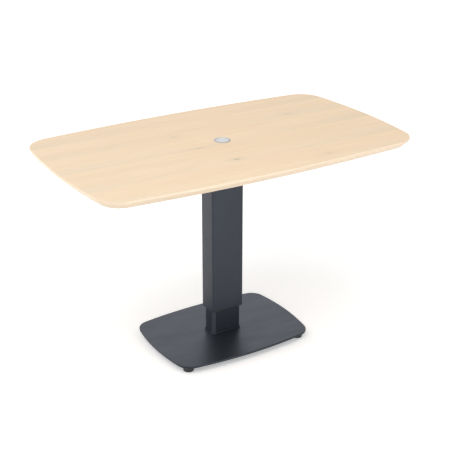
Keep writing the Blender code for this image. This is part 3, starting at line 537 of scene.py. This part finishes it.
def plated_metal(name, colour, tint, roughness, scratch):
    """Plated steel with a drifting tint and fine scratches round it."""
    shader = Shader(name, Metallic=1.0)
    place = shader.place()
    drift = shader.noise(place, scale=70.0, detail=3.0)
    shader.set_colour(shader.mix(shader.fit(drift, *NOISE_SPREAD), colour, tint))
    x, y, z = shader.parts(place)
    squeezed = shader.vector(x, y, shader.maths("MULTIPLY", z, SCRATCH_SQUEEZE))
    lines = shader.noise(squeezed, scale=120.0, detail=3.0, roughness=0.6)
    shader.set_roughness(lines, NOISE_SPREAD, roughness)
    shader.bump(lines, distance=0.00005, strength=scratch)
    return shader.material


def turned_metal(name, colour, roughness, reach):
    """Satin aluminium with the rings that turning leaves round the button's axis, darker at its rim by
    painted shade, which stands in for the shadow in the gap round it.
    """
    shader = Shader(name, Metallic=1.0)
    place = shader.place()
    x, y, z = shader.parts(place)
    radius = shader.distance(x, y)
    rings = shader.noise(shader.vector(radius, z, 0.0), scale=5200.0, detail=3.0, roughness=0.65)
    cloud = shader.noise(place, scale=90.0, detail=3.0)
    darker = tuple(TURNED_SHADE * part for part in colour)
    face = shader.mix(shader.fit(cloud, *NOISE_SPREAD), colour, darker)
    # painted shade at the rim, where the gap round the piece falls in shadow
    rim = shader.fit(radius, reach - RIM_SHADE_WIDTH, reach, 0.0, RIM_SHADE_SHARE)
    shader.set_colour(shader.mix(rim, face, RIM_SHADE_COLOUR))
    shader.set_roughness(rings, NOISE_SPREAD, roughness)
    shader.bump(rings, distance=0.00004, strength=0.4)
    return shader.material


def painted_cylinder():
    """The gas spring's black paint, glossier than the powder coat."""
    shader = Shader("black_steel")
    place = shader.place()
    cloud = shader.noise(place, scale=30.0, detail=3.0)
    shader.set_colour(shader.mix(cloud, CYLINDER_DARK, CYLINDER_PALE))
    shader.set_roughness(cloud, NOISE_SPREAD, CYLINDER_ROUGHNESS)
    shader.bump(shader.noise(place, scale=700.0), distance=0.00006, strength=0.3)
    return shader.material


def arc(centre, radius, start, end, steps):
    """Points along an arc, both ends included, each with the way outwards there."""
    points = []
    for step in range(steps + 1):
        angle = start + (end - start) * step / steps
        out_x = math.cos(angle)
        out_y = math.sin(angle)
        points.append((centre[0] + radius * out_x, centre[1] + radius * out_y, out_x, out_y))
    return points


def circle_outline(radius, steps, centre=(0.0, 0.0)):
    return arc(centre, radius, 0.0, 2 * math.pi, steps)[:-1]


def quarter_turns(steps):
    """Angles from zero to a right angle, both included."""
    return [math.pi / 2 * step / steps for step in range(steps + 1)]


def rounded_outline(length, depth, corner, steps):
    outline = []
    for index, (side_x, side_y) in enumerate(((1, 1), (-1, 1), (-1, -1), (1, -1))):
        centre = (side_x * (length / 2 - corner), side_y * (depth / 2 - corner))
        start = index * math.pi / 2
        outline += arc(centre, corner, start, start + math.pi / 2, steps)
    return outline


def bowed_outline(length, depth, long_bow, short_bow, corner):
    """A rectangle whose four sides are outward arcs, with each corner rounded by an arc that meets both."""
    half_length = length / 2
    half_depth = depth / 2
    long_radius = ((half_length - short_bow) ** 2 + long_bow**2) / (2 * long_bow)
    short_radius = ((half_depth - long_bow) ** 2 + short_bow**2) / (2 * short_bow)
    long_centre = Vector((0, half_depth - long_radius))
    short_centre = Vector((half_length - short_radius, 0))
    # The corner's centre lies where the two side arcs, drawn in by the corner radius, cross.
    between = short_centre - long_centre
    distance = between.length
    reach = long_radius - corner
    along = (reach**2 - (short_radius - corner) ** 2 + distance**2) / (2 * distance)
    aside = math.sqrt(reach**2 - along**2)
    unit = between / distance
    corner_centre = long_centre + unit * along + Vector((unit.y, -unit.x)) * aside
    long_end = math.atan2(corner_centre.y - long_centre.y, corner_centre.x - long_centre.x)
    short_end = math.atan2(corner_centre.y - short_centre.y, corner_centre.x - short_centre.x)
    quarter = arc(short_centre, short_radius, 0, short_end, BOW_STEPS)
    quarter += arc(corner_centre, corner, short_end, long_end, PLATE_CORNER_STEPS)[1:]
    quarter += arc(long_centre, long_radius, long_end, math.pi / 2, BOW_STEPS)[1:]
    half = quarter + [(-x, y, -out_x, out_y) for x, y, out_x, out_y in reversed(quarter[:-1])]
    return half + [(x, -y, out_x, -out_y) for x, y, out_x, out_y in reversed(half[1:-1])]


def resampled(outline, spacing):
    """The same closed outline with points at an even spacing."""
    points = [Vector(point) for point in outline]
    fine = []
    for first, second in zip(points, points[1:] + points[:1]):
        steps = max(1, round((second.xy - first.xy).length / spacing))
        for step in range(steps):
            point = first.lerp(second, step / steps)
            out = Vector((point.z, point.w)).normalized()
            fine.append((point.x, point.y, out.x, out.y))
    return fine


def ring(outline, inset, level):
    """An outline drawn in by some amount, at one level."""
    return [(x - out_x * inset, y - out_y * inset, level) for x, y, out_x, out_y in outline]


def round_ring(outline, radius, level):
    """Points on a circle, one in line with each point of an outline."""
    points = []
    for x, y, _, _ in outline:
        share = radius / math.hypot(x, y)
        points.append((x * share, y * share, level))
    return points


def hexagon_ring(across_flats, steps, level):
    """Points at even angles on a hexagon."""
    points = []
    for step in range(steps):
        angle = 2 * math.pi * step / steps
        off_flat = (angle + math.pi / 6) % (math.pi / 3) - math.pi / 6
        radius = across_flats / 2 / math.cos(off_flat)
        points.append((radius * math.cos(angle), radius * math.sin(angle), level))
    return points


def rounded_edge(outline, low, high, radius, steps):
    """Rings round a plate's edge, from its lower face to its upper one, with both corners rounded."""
    rings = [ring(outline, radius + EDGE_FLAT, low)]
    for turn in quarter_turns(steps):
        rings.append(ring(outline, radius * (1 - math.sin(turn)), low + radius * (1 - math.cos(turn))))
    for turn in quarter_turns(steps):
        rings.append(ring(outline, radius * (1 - math.cos(turn)), high - radius * (1 - math.sin(turn))))
    rings.append(ring(outline, radius + EDGE_FLAT, high))
    return rings


def eased_edge(outline, corners, steps):
    """Rings round an edge through (inset, level, ease) corners, each rounded off by its ease."""
    places = [Vector(corner[:2]) for corner in corners]
    rings = [ring(outline, *places[0])]
    for before, (inset, level, ease), after in zip(places, corners[1:], places[2:]):
        corner = Vector((inset, level))
        start = corner + (before - corner).normalized() * ease
        end = corner + (after - corner).normalized() * ease
        for step in range(steps + 1):
            share = step / steps
            place = start.lerp(corner, share).lerp(corner.lerp(end, share), share)
            rings.append(ring(outline, *place))
    return [*rings, ring(outline, *places[-1])]


def tube_rings(outline, wall, low, high, rim):
    """Rings round a tube: up its outside and down its inside, with its rims eased."""
    profile = [(wall - rim, low), (rim, low), (0, low + rim), (0, high - rim)]
    profile += [(rim, high), (wall - rim, high), (wall, high - rim), (wall, low + rim)]
    return [ring(outline, inset, level) for inset, level in profile]


def turned_rings(profile, steps):
    """Rings of a turned shape, from (radius, level) points."""
    outline = circle_outline(1.0, steps)
    return [ring(outline, 1.0 - radius, level) for radius, level in profile]


def loft(name, rings, material, closed=False, move=None):
    """A piece through rings of as many points each. A closed one joins its last ring to its first."""
    builder = bmesh.new()
    rows = [[builder.verts.new(point) for point in points] for points in rings]
    pairs = list(zip(rows, rows[1:]))
    if closed:
        pairs.append((rows[-1], rows[0]))
    for lower, upper in pairs:
        for index, corner in enumerate(lower):
            after = (index + 1) % len(lower)
            builder.faces.new((corner, lower[after], upper[after], upper[index]))
    if not closed:
        builder.faces.new(list(reversed(rows[0])))
        builder.faces.new(rows[-1])
    bmesh.ops.recalc_face_normals(builder, faces=builder.faces)
    mesh = bpy.data.meshes.new(name)
    builder.to_mesh(mesh)
    builder.free()
    if move:
        mesh.transform(move)
    mesh.shade_smooth()
    mesh.set_sharp_from_angle(angle=SHARP_ANGLE)
    mesh.materials.append(material)
    piece = bpy.data.objects.new(name, mesh)
    bpy.context.scene.collection.objects.link(piece)
    return piece


def carry(piece, body, slot, *nodes):
    """Sets what a piece moves with and which solids it stands for, and hides those. The slot argument is not
    used.
    """
    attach(piece, body)
    if nodes:
        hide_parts(*nodes)


def cut(piece, cutters):
    """Cuts shapes out of a piece, and removes them."""
    for cutter in cutters:
        boolean = piece.modifiers.new("Cut", "BOOLEAN")
        boolean.object = cutter
    bpy.context.view_layer.update()
    graph = bpy.context.evaluated_depsgraph_get()
    mesh = bpy.data.meshes.new_from_object(piece.evaluated_get(graph))
    piece.modifiers.clear()
    piece.data = mesh
    for cutter in cutters:
        bpy.data.objects.remove(cutter)
    mesh.set_sharp_from_angle(angle=SHARP_ANGLE)


def holes_at(nodes, radius, low, high):
    """Cutters for round holes, one on the upright axis of each node."""
    rings = turned_rings([(radius, low), (radius, high)], SMALL_STEPS)
    return [loft("hole", rings, COAT, move=onto(node)) for node in nodes]


def size_of(node):
    low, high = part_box(node)
    return high - low


def middle_of(node):
    low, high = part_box(node)
    return (low + high) / 2


def onto(node):
    """The move from the origin's upright axis to a node's."""
    return Matrix.Translation((*middle_of(node).xy, 0))


def lay_grain(piece, outline, rings):
    """Stores where each corner of each face lies along and across the grain, which follows X on the flat
    faces and runs round the table on its edge."""
    lengths = [0.0]
    for first, second in zip(outline, outline[1:] + outline[:1]):
        lengths.append(lengths[-1] + math.hypot(second[0] - first[0], second[1] - first[1]))
    count = len(outline)
    places = []
    for lower, upper in zip(rings, rings[1:] + rings[:1]):
        flat = lower[0][2] == upper[0][2]
        for index in range(count):
            for row, step in ((lower, 0), (lower, 1), (upper, 1), (upper, 0)):
                x, y, level = row[(index + step) % count]
                places += (x, y, 0.0) if flat else (lengths[index + step], BAND_ACROSS + level, 0.0)
    grain = piece.data.attributes.new("grain", "FLOAT_VECTOR", "CORNER")
    grain.data.foreach_set("vector", places)


def make_table_top():
    low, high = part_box("table_top")
    outline = bowed_outline(high.x - low.x, high.y - low.y, TOP_LONG_BOW, TOP_SHORT_BOW, TOP_CORNER)
    corners = [
        (TOP_BEVEL + BEVEL_EASE + EDGE_FLAT, low.z, 0.0),
        (TOP_BEVEL, low.z, BEVEL_EASE),
        (0.0, low.z + TOP_BEVEL, BEVEL_EASE),
        (0.0, high.z, TOP_EDGE),
        (TOP_EDGE + EDGE_FLAT, high.z, 0.0),
    ]
    rings = eased_edge(outline, corners, EDGE_STEPS)
    rings.insert(0, round_ring(outline, BUTTON_HOLE, low.z))
    rings.append(round_ring(outline, BUTTON_HOLE, high.z))
    top = loft("table_board", rings, WOOD, closed=True)
    lay_grain(top, outline, rings)
    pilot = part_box(TOP_SCREWS[0])[1].z + FIT_GAP
    cut(top, holes_at(TOP_SCREWS, TOP_SCREW_SHANK + FIT_GAP, low.z - CUT_MARGIN, pilot))
    carry(top, "lift", "pale_wood", "table_top")


def make_base_plate():
    low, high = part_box("base_plate")
    outline = bowed_outline(high.x - low.x, high.y - low.y, BASE_BOW, BASE_BOW, BASE_CORNER)
    rings = rounded_edge(outline, low.z, high.z, BASE_EDGE, FINE_EDGE_STEPS)
    plate = loft("floor_plate", rings, PLATE_COAT)
    plate.data.materials.append(COAT)
    for face in plate.data.polygons:
        face.material_index = int(face.normal.z < UPPER_FACE)
    below = low.z - CUT_MARGIN
    above = high.z + CUT_MARGIN
    pocket = turned_rings([(NUT_POCKET, below), (NUT_POCKET, above)], ROUND_STEPS)
    cutters = [loft("pocket", pocket, COAT)]
    studs = [f"foot_stud_{corner}" for corner in FOOT_CORNERS]
    cutters += holes_at(studs, STUD_HOLE, below, low.z + STUD_HOLE_DEPTH)
    (head, rim), neck = countersunk(low.z, FIT_GAP)
    profile = [(head, below), (head, rim), neck, (FLANGE_SCREW_SHANK + FIT_GAP, above)]
    sink = turned_rings(profile, SMALL_STEPS)
    cutters += [loft("countersink", sink, COAT, move=onto(screw)) for screw in FLANGE_SCREWS]
    cut(plate, cutters)
    carry(plate, "base", "charcoal_powder_coat", "base_plate")


def countersunk(level, gap):
    """The head of a flange screw, from its rim up to its shank, grown by a gap."""
    head = FLANGE_SCREW_HEAD + gap
    shank = FLANGE_SCREW_SHANK + gap
    rim = level + FLANGE_SCREW_RIM
    return [(head, rim), (shank, rim + FLANGE_SCREW_HEAD - FLANGE_SCREW_SHANK)]


def make_feet():
    for corner in FOOT_CORNERS:
        node = f"foot_pad_{corner}"
        low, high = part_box(node)
        radius = size_of(node).x / 2
        recess = radius - PAD_WALL
        profile = [(STUD_HOLE, PAD_FLOOR), (STUD_HOLE, PAD_SEAT), (recess, PAD_SEAT), (recess, high.z)]
        profile += [(radius - TUBE_RIM, high.z), (radius, high.z - TUBE_RIM)]
        for turn in quarter_turns(FINE_EDGE_STEPS):
            level = low.z + PAD_EDGE * (1 - math.sin(turn))
            profile.append((radius - PAD_EDGE * (1 - math.cos(turn)), level))
        rings = turned_rings(profile, ROUND_STEPS)
        pad = loft(f"foot_cup_{corner}", rings, FOOT_PLASTIC, move=onto(node))
        carry(pad, f"pad_{corner}", "black_plastic", node)


def weld_bead(name, outline, level):
    """A rippled fillet of weld round a tube that hangs from a plate, sunk a little into both."""
    fine = resampled(outline, BEAD_SPACING)
    rings = [ring(fine, BEAD_SINK, level + BEAD_SINK)]
    for turn in quarter_turns(FINE_EDGE_STEPS):
        points = []
        for index, (x, y, out_x, out_y) in enumerate(fine):
            leg = BEAD_LEG * (1 + BEAD_RIPPLE * math.sin(2 * math.pi * index * BEAD_SPACING / BEAD_PITCH))
            out = leg * math.cos(turn)
            points.append((x + out_x * out, y + out_y * out, level - leg * math.sin(turn)))
        rings.append(points)
    return loft(name, rings, COAT, closed=True)


def node_outline(node, corner):
    """The rounded rectangle that a node fills, seen from above, about the origin."""
    size = size_of(node)
    return rounded_outline(size.x, size.y, corner, TUBE_CORNER_STEPS)


def make_inner_column():
    low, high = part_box("inner_column")
    rings = tube_rings(node_outline("inner_column", INNER_CORNER), COLUMN_WALL, low.z, high.z, TUBE_RIM)
    tube = loft("inner_tube", rings, INNER_COAT, closed=True)
    carry(tube, "base", "charcoal_powder_coat", "inner_column")


def make_flange():
    low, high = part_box("column_flange")
    outline = node_outline("column_flange", FLANGE_CORNER)
    rings = rounded_edge(outline, low.z, high.z, FLANGE_EDGE, FINE_EDGE_STEPS)
    flange = loft("tube_flange", rings, INNER_COAT)
    span = (low.z - CUT_MARGIN, high.z + CUT_MARGIN)
    cutters = holes_at(FLANGE_SCREWS, FLANGE_SCREW_SHANK + FIT_GAP, *span)
    cutters += holes_at(("gas_cylinder",), CYLINDER_STUD + FIT_GAP, *span)
    cut(flange, cutters)
    carry(flange, "base", "charcoal_powder_coat", "column_flange")


def make_outer_column():
    low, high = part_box("outer_column")
    outline = node_outline("outer_column", OUTER_CORNER)
    rings = tube_rings(outline, COLUMN_WALL, low.z, high.z, TUBE_RIM)
    tube = loft("outer_tube", rings, COAT, closed=True)
    carry(tube, "lift", "charcoal_powder_coat", "outer_column")
    bead = weld_bead("head_weld", outline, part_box("head_plate")[0].z)
    carry(bead, "lift", "charcoal_powder_coat")


def make_mouth_bush():
    low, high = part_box("lower_glide_bush")
    bore = node_outline("inner_column", INNER_CORNER)
    outside = node_outline("outer_column", OUTER_CORNER)
    rim = low.z + BUSH_RIM
    fit = COLUMN_WALL + FIT_GAP
    rings = [ring(bore, -FIT_GAP - BUSH_EDGE, low.z), ring(outside, BUSH_EDGE, low.z)]
    rings += [ring(outside, 0, low.z + BUSH_EDGE), ring(outside, 0, rim)]
    rings += [ring(outside, fit, rim), ring(outside, fit, high.z)]
    rings += [ring(bore, -FIT_GAP, high.z), ring(bore, -FIT_GAP, low.z + BUSH_EDGE)]
    bush = loft("mouth_bush", rings, PLASTIC, closed=True)
    carry(bush, "lift", "black_plastic", "lower_glide_bush")


def make_head_plate():
    low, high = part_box("head_plate")
    outline = node_outline("head_plate", HEAD_CORNER)
    plate = loft("carrier_plate", rounded_edge(outline, low.z, high.z, HEAD_EDGE, FINE_EDGE_STEPS), COAT)
    rod = size_of("gas_rod").x / 2
    cut(plate, holes_at(("gas_rod",), rod + FIT_GAP, low.z - CUT_MARGIN, high.z + CUT_MARGIN))
    carry(plate, "lift", "charcoal_powder_coat", "head_plate")


def make_rails():
    for side in ("front", "rear"):
        node = f"support_rail_{side}"
        low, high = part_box(node)
        size = high - low
        section = rounded_outline(size.y, size.z, RAIL_CORNER, TUBE_CORNER_STEPS)
        move = Matrix.Translation((0, *middle_of(node).yz)) @ ALONG_X
        rings = tube_rings(section, RAIL_WALL, low.x, high.x, TUBE_RIM)
        rail = loft(f"rail_{side}", rings, COAT, closed=True, move=move)
        screws = [screw for screw in TOP_SCREWS if low.y < middle_of(screw).y < high.y]
        cut(rail, holes_at(screws, TOP_SCREW_SHANK + FIT_GAP, low.z - CUT_MARGIN, high.z + CUT_MARGIN))
        carry(rail, "lift", "charcoal_powder_coat", node)
        for end, turn in (("right", 1), ("left", -1)):
            cap_node = f"rail_cap_{side}_{end}"
            inside, outside = (corner.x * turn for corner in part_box(cap_node)[::turn])
            seat = outside - CAP_THICKNESS
            plug = RAIL_WALL + TUBE_RIM
            rings = [ring(section, plug, inside), ring(section, plug, seat), ring(section, 0, seat)]
            rounded = rounded_edge(section, seat, outside, CAP_EDGE, FINE_EDGE_STEPS)
            rings += rounded[len(rounded) // 2:]
            flip = move @ Matrix.Diagonal((1, 1, turn, 1))
            cap = loft(f"rail_end_{side}_{end}", rings, PLASTIC, move=flip)
            if turn < 0:
                cap.data.flip_normals()
            carry(cap, "lift", "black_plastic", cap_node)


def make_top_screws():
    for number, node in enumerate(TOP_SCREWS, 1):
        low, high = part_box(node)
        face = low.z
        seat = face + TOP_SCREW_HEAD_HEIGHT
        rings = [hexagon_ring(TOP_SCREW_HEX, SMALL_STEPS, face + TOP_SCREW_SOCKET)]
        rings.append(hexagon_ring(TOP_SCREW_HEX, SMALL_STEPS, face))
        profile = [(TOP_SCREW_FACE, face), (TOP_SCREW_HEAD, (face + seat) / 2), (TOP_SCREW_HEAD, seat)]
        profile += [(TOP_SCREW_SHANK, seat), (TOP_SCREW_SHANK, high.z - TOP_SCREW_POINT), (TUBE_RIM, high.z)]
        rings += turned_rings(profile, SMALL_STEPS)
        screw = loft(f"rail_screw_{number}", rings, ZINC, move=onto(node))
        carry(screw, "lift", "zinc_plated_steel", node)


def make_flange_screws():
    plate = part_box("base_plate")[0].z
    for number, node in enumerate(FLANGE_SCREWS, 1):
        low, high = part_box(node)
        rings = [hexagon_ring(FLANGE_SCREW_HEX, SMALL_STEPS, low.z + FLANGE_SCREW_SOCKET)]
        rings.append(hexagon_ring(FLANGE_SCREW_HEX, SMALL_STEPS, low.z))
        profile = [(FLANGE_SCREW_HEAD - FLANGE_SCREW_RIM, low.z), *countersunk(plate, 0.0)]
        profile.append((FLANGE_SCREW_SHANK, high.z))
        rings += turned_rings(profile, SMALL_STEPS)
        screw = loft(f"base_screw_{number}", rings, ZINC, move=onto(node))
        carry(screw, "base", "zinc_plated_steel", node)


def make_bezel():
    low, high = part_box("button_bezel")
    radius = (high.x - low.x) / 2
    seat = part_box("table_top")[1].z + FIT_GAP
    profile = [(SLEEVE_RADIUS, seat), (radius, seat), (radius, seat + BEZEL_SHOULDER)]
    rise = high.z - seat - BEZEL_SHOULDER
    for turn in quarter_turns(EDGE_STEPS)[1:]:
        level = seat + BEZEL_SHOULDER + rise * math.sin(turn)
        profile.append((radius - BEZEL_ROUND * (1 - math.cos(turn)), level))
    profile += [(BEZEL_BORE + BEZEL_LEAD, high.z), (BEZEL_BORE, high.z - BEZEL_LEAD)]
    profile += [(BEZEL_BORE, low.z + BEZEL_LIP_THICKNESS), (BEZEL_LIP, low.z + BEZEL_LIP_THICKNESS)]
    profile += [(BEZEL_LIP, low.z), (SLEEVE_RADIUS, low.z)]
    bezel = loft("bezel_ring", turned_rings(profile, ROUND_STEPS), BEZEL_METAL, closed=True)
    carry(bezel, "lift", "satin_silver", "button_bezel")


def make_button():
    low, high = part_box("release_button")
    radius = (high.x - low.x) / 2
    rim = high.z - BUTTON_CROWN
    web = rim - BUTTON_WEB
    boss = web - BOSS_LENGTH
    profile = [(BOSS_BORE, boss + BOSS_SOCKET), (BOSS_BORE, boss), (BOSS_RADIUS, boss), (BOSS_RADIUS, web)]
    profile += [(radius - BUTTON_WALL, web), (radius - BUTTON_WALL, rim - BUTTON_SKIRT)]
    profile += [(radius, rim - BUTTON_SKIRT)]
    for turn in quarter_turns(FINE_EDGE_STEPS):
        level = rim - BUTTON_EDGE * (1 - math.sin(turn))
        profile.append((radius - BUTTON_EDGE * (1 - math.cos(turn)), level))
    flat = radius - BUTTON_EDGE
    for step in range(1, 2 * EDGE_STEPS):
        share = 1 - step / (2 * EDGE_STEPS)
        profile.append((flat * share, rim + BUTTON_CROWN * (1 - share**2)))
    cap = loft("button_cap", turned_rings(profile, ROUND_STEPS), BUTTON_METAL)
    carry(cap, "button", "satin_silver", "release_button")


def make_ring_nut():
    low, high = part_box("bezel_ring_nut")
    radius = (high.x - low.x) / 2
    share = 2 * math.pi / RING_NUT_NOTCHES
    outline = []
    for notch in range(RING_NUT_NOTCHES):
        start = notch * share
        middle = start + share * RING_NUT_LAND
        outline += arc((0, 0), radius, start, middle, EDGE_STEPS)
        outline += arc((0, 0), radius - RING_NUT_NOTCH, middle, start + share, FINE_EDGE_STEPS)
    bore = SLEEVE_RADIUS + FIT_GAP
    rings = [round_ring(outline, bore, low.z), ring(outline, RING_NUT_EDGE, low.z)]
    rings += [ring(outline, 0, low.z + RING_NUT_EDGE), ring(outline, 0, high.z - RING_NUT_EDGE)]
    rings += [ring(outline, RING_NUT_EDGE, high.z), round_ring(outline, bore, high.z)]
    nut = loft("clamp_nut", rings, PLASTIC, closed=True)
    carry(nut, "lift", "black_plastic", "bezel_ring_nut")


def make_return_spring():
    """A coil of round wire, at its rest length; it is not made to close up as the button goes down."""
    low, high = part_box("button_return_spring")
    wire = SPRING_WIRE / 2
    climb = high.z - low.z - SPRING_WIRE
    count = SPRING_CURLS * SMALL_STEPS
    slope = climb / (2 * math.pi * SPRING_CURLS)
    rings = []
    for step in range(count + 1):
        angle = 2 * math.pi * step / SMALL_STEPS
        out = Vector((math.cos(angle), math.sin(angle), 0))
        tangent = Vector((-SPRING_RADIUS * out.y, SPRING_RADIUS * out.x, slope)).normalized()
        aside = tangent.cross(out)
        centre = out * SPRING_RADIUS + Vector((0, 0, low.z + wire + climb * step / count))
        section = []
        for index in range(2 * FINE_EDGE_STEPS):
            turn = math.pi * index / FINE_EDGE_STEPS
            section.append(centre + (out * math.cos(turn) + aside * math.sin(turn)) * wire)
        rings.append(section)
    spring = loft("return_coil", rings, CHROME)
    carry(spring, "lift", "chromed_steel", "button_return_spring")
    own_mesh(spring)


def dress_solids():
    """Gives the solids that stay in view the finish of their slot."""
    finishes = {
        "charcoal_powder_coat": COAT,
        "black_steel": CYLINDER_PAINT,
        "black_plastic": PLASTIC,
        "zinc_plated_steel": ZINC,
        "chromed_steel": CHROME,
        "satin_silver": BEZEL_METAL,
        "pale_wood": WOOD,
    }
    for part in frame["record"]["subparts"]:
        solid = frame["nodes"][part["node"]]
        solid.data.materials.clear()
        solid.data.materials.append(finishes[part["material_slot"]])


def make_camera():
    back = Vector((
        math.sin(VIEW_AZIMUTH) * math.cos(VIEW_ELEVATION),
        -math.cos(VIEW_AZIMUTH) * math.cos(VIEW_ELEVATION),
        math.sin(VIEW_ELEVATION),
    ))
    lens = bpy.data.cameras.new("camera")
    lens.lens = LENS_MM
    lens.sensor_width = SENSOR_MM
    camera = bpy.data.objects.new("camera", lens)
    camera.location = VIEW_TARGET + back * VIEW_DISTANCE
    camera.rotation_euler = back.to_track_quat("Z", "Y").to_euler()
    bpy.context.scene.collection.objects.link(camera)
    bpy.context.scene.camera = camera


def area_light(name, place, aim, width, height, watts):
    lamp = bpy.data.lights.new(name, "AREA")
    lamp.shape = "RECTANGLE"
    lamp.size = width
    lamp.size_y = height
    lamp.energy = watts
    light = bpy.data.objects.new(name, lamp)
    light.location = place
    light.rotation_euler = (Vector(place) - Vector(aim)).to_track_quat("Z", "Y").to_euler()
    bpy.context.scene.collection.objects.link(light)


def seen_directly(tree):
    """1 for a ray from the camera, or one that a glossy or clear surface sends on, and 0 for other light."""
    path = tree.nodes.new("ShaderNodeLightPath")
    total = path.outputs["Is Camera Ray"]
    for ray in ("Is Glossy Ray", "Is Transmission Ray"):
        either = tree.nodes.new("ShaderNodeMath")
        either.operation = "MAXIMUM"
        tree.links.new(total, either.inputs[0])
        tree.links.new(path.outputs[ray], either.inputs[1])
        total = either.outputs[0]
    return total


def make_world():
    """White where it is seen, and dimmer as light on the object."""
    world = bpy.data.worlds.new("studio")
    bpy.context.scene.world = world
    world.use_nodes = True
    tree = world.node_tree
    background = tree.nodes["Background"]
    background.inputs["Color"].default_value = (1.0, 1.0, 1.0, 1.0)
    strength = tree.nodes.new("ShaderNodeMapRange")
    strength.inputs["To Min"].default_value = WORLD_LIGHT
    strength.inputs["To Max"].default_value = 1.0
    tree.links.new(seen_directly(tree), strength.inputs["Value"])
    tree.links.new(strength.outputs[0], background.inputs["Strength"])


def floor_paint():
    """Pale and matt, so that it keeps the shadow, lifted to white where it is seen, and clear from below."""
    material = bpy.data.materials.new("pale_floor")
    material.use_nodes = True
    tree = material.node_tree
    tree.nodes.clear()
    matt = tree.nodes.new("ShaderNodeBsdfDiffuse")
    matt.inputs["Color"].default_value = (FLOOR_TONE, FLOOR_TONE, FLOOR_TONE, 1.0)
    lift = tree.nodes.new("ShaderNodeEmission")
    away = tree.nodes.new("ShaderNodeVectorMath")
    away.operation = "LENGTH"
    tree.links.new(tree.nodes.new("ShaderNodeTexCoord").outputs["Object"], away.inputs[0])
    reach = tree.nodes.new("ShaderNodeMapRange")
    for socket, number in zip(reach.inputs, (away.outputs["Value"], *FLOOR_REACH, *FLOOR_LIFT)):
        if isinstance(number, float):
            socket.default_value = number
        else:
            tree.links.new(number, socket)
    glow = tree.nodes.new("ShaderNodeMath")
    glow.operation = "MULTIPLY"
    tree.links.new(reach.outputs[0], glow.inputs[1])
    tree.links.new(seen_directly(tree), glow.inputs[0])
    tree.links.new(glow.outputs[0], lift.inputs["Strength"])
    both = tree.nodes.new("ShaderNodeAddShader")
    tree.links.new(matt.outputs[0], both.inputs[0])
    tree.links.new(lift.outputs[0], both.inputs[1])
    side = tree.nodes.new("ShaderNodeNewGeometry")
    pick = tree.nodes.new("ShaderNodeMixShader")
    tree.links.new(side.outputs["Backfacing"], pick.inputs[0])
    tree.links.new(both.outputs[0], pick.inputs[1])
    tree.links.new(tree.nodes.new("ShaderNodeBsdfTransparent").outputs[0], pick.inputs[2])
    tree.links.new(pick.outputs[0], tree.nodes.new("ShaderNodeOutputMaterial").inputs["Surface"])
    return material


def make_floor():
    bpy.ops.mesh.primitive_plane_add(size=FLOOR_SIZE)
    floor = bpy.context.object
    floor.name = "floor"
    floor.data.materials.append(floor_paint())


WOOD = wood()
COAT = powder_coat("charcoal_powder_coat", PAINT_GLOSS, PAINT_ROUGHNESS).material
INNER_COAT = inner_coat().material
PLATE_COAT = plate_coat().material
PLASTIC = moulded_plastic("black_plastic", colour=(0.012, 0.012, 0.013), roughness=(0.44, 0.58))
FOOT_PLASTIC = moulded_plastic("foot_plastic", colour=(0.015, 0.016, 0.018), roughness=(0.49, 0.63))
ZINC = plated_metal(
    "zinc_plated_steel",
    colour=(0.58, 0.59, 0.60),
    tint=(0.54, 0.53, 0.47),
    roughness=(0.29, 0.44),
    scratch=0.3,
)
CHROME = plated_metal(
    "chromed_steel",
    colour=(0.70, 0.71, 0.72),
    tint=(0.66, 0.67, 0.69),
    roughness=(0.07, 0.22),
    scratch=0.1,
)
BEZEL_METAL = turned_metal(
    "satin_silver",
    colour=(0.55, 0.55, 0.55),
    roughness=(0.41, 0.54),
    reach=size_of("button_bezel").x / 2,
)
BUTTON_METAL = turned_metal(
    "button_silver",
    colour=(0.67, 0.675, 0.69),
    roughness=(0.43, 0.56),
    reach=size_of("release_button").x / 2,
)
CYLINDER_PAINT = painted_cylinder()

dress_solids()
make_table_top()
make_base_plate()
make_feet()
make_inner_column()
make_flange()
make_outer_column()
make_mouth_bush()
make_head_plate()
make_rails()
make_top_screws()
make_flange_screws()
make_bezel()
make_button()
make_ring_nut()
make_return_spring()

make_camera()
make_world()
make_floor()
for lamp_name, lamp_place, lamp_width, lamp_height, watts in LAMPS:
    area_light(lamp_name, lamp_place, LAMP_AIM, lamp_width, lamp_height, watts)
bpy.context.scene.view_settings.view_transform = "Standard"
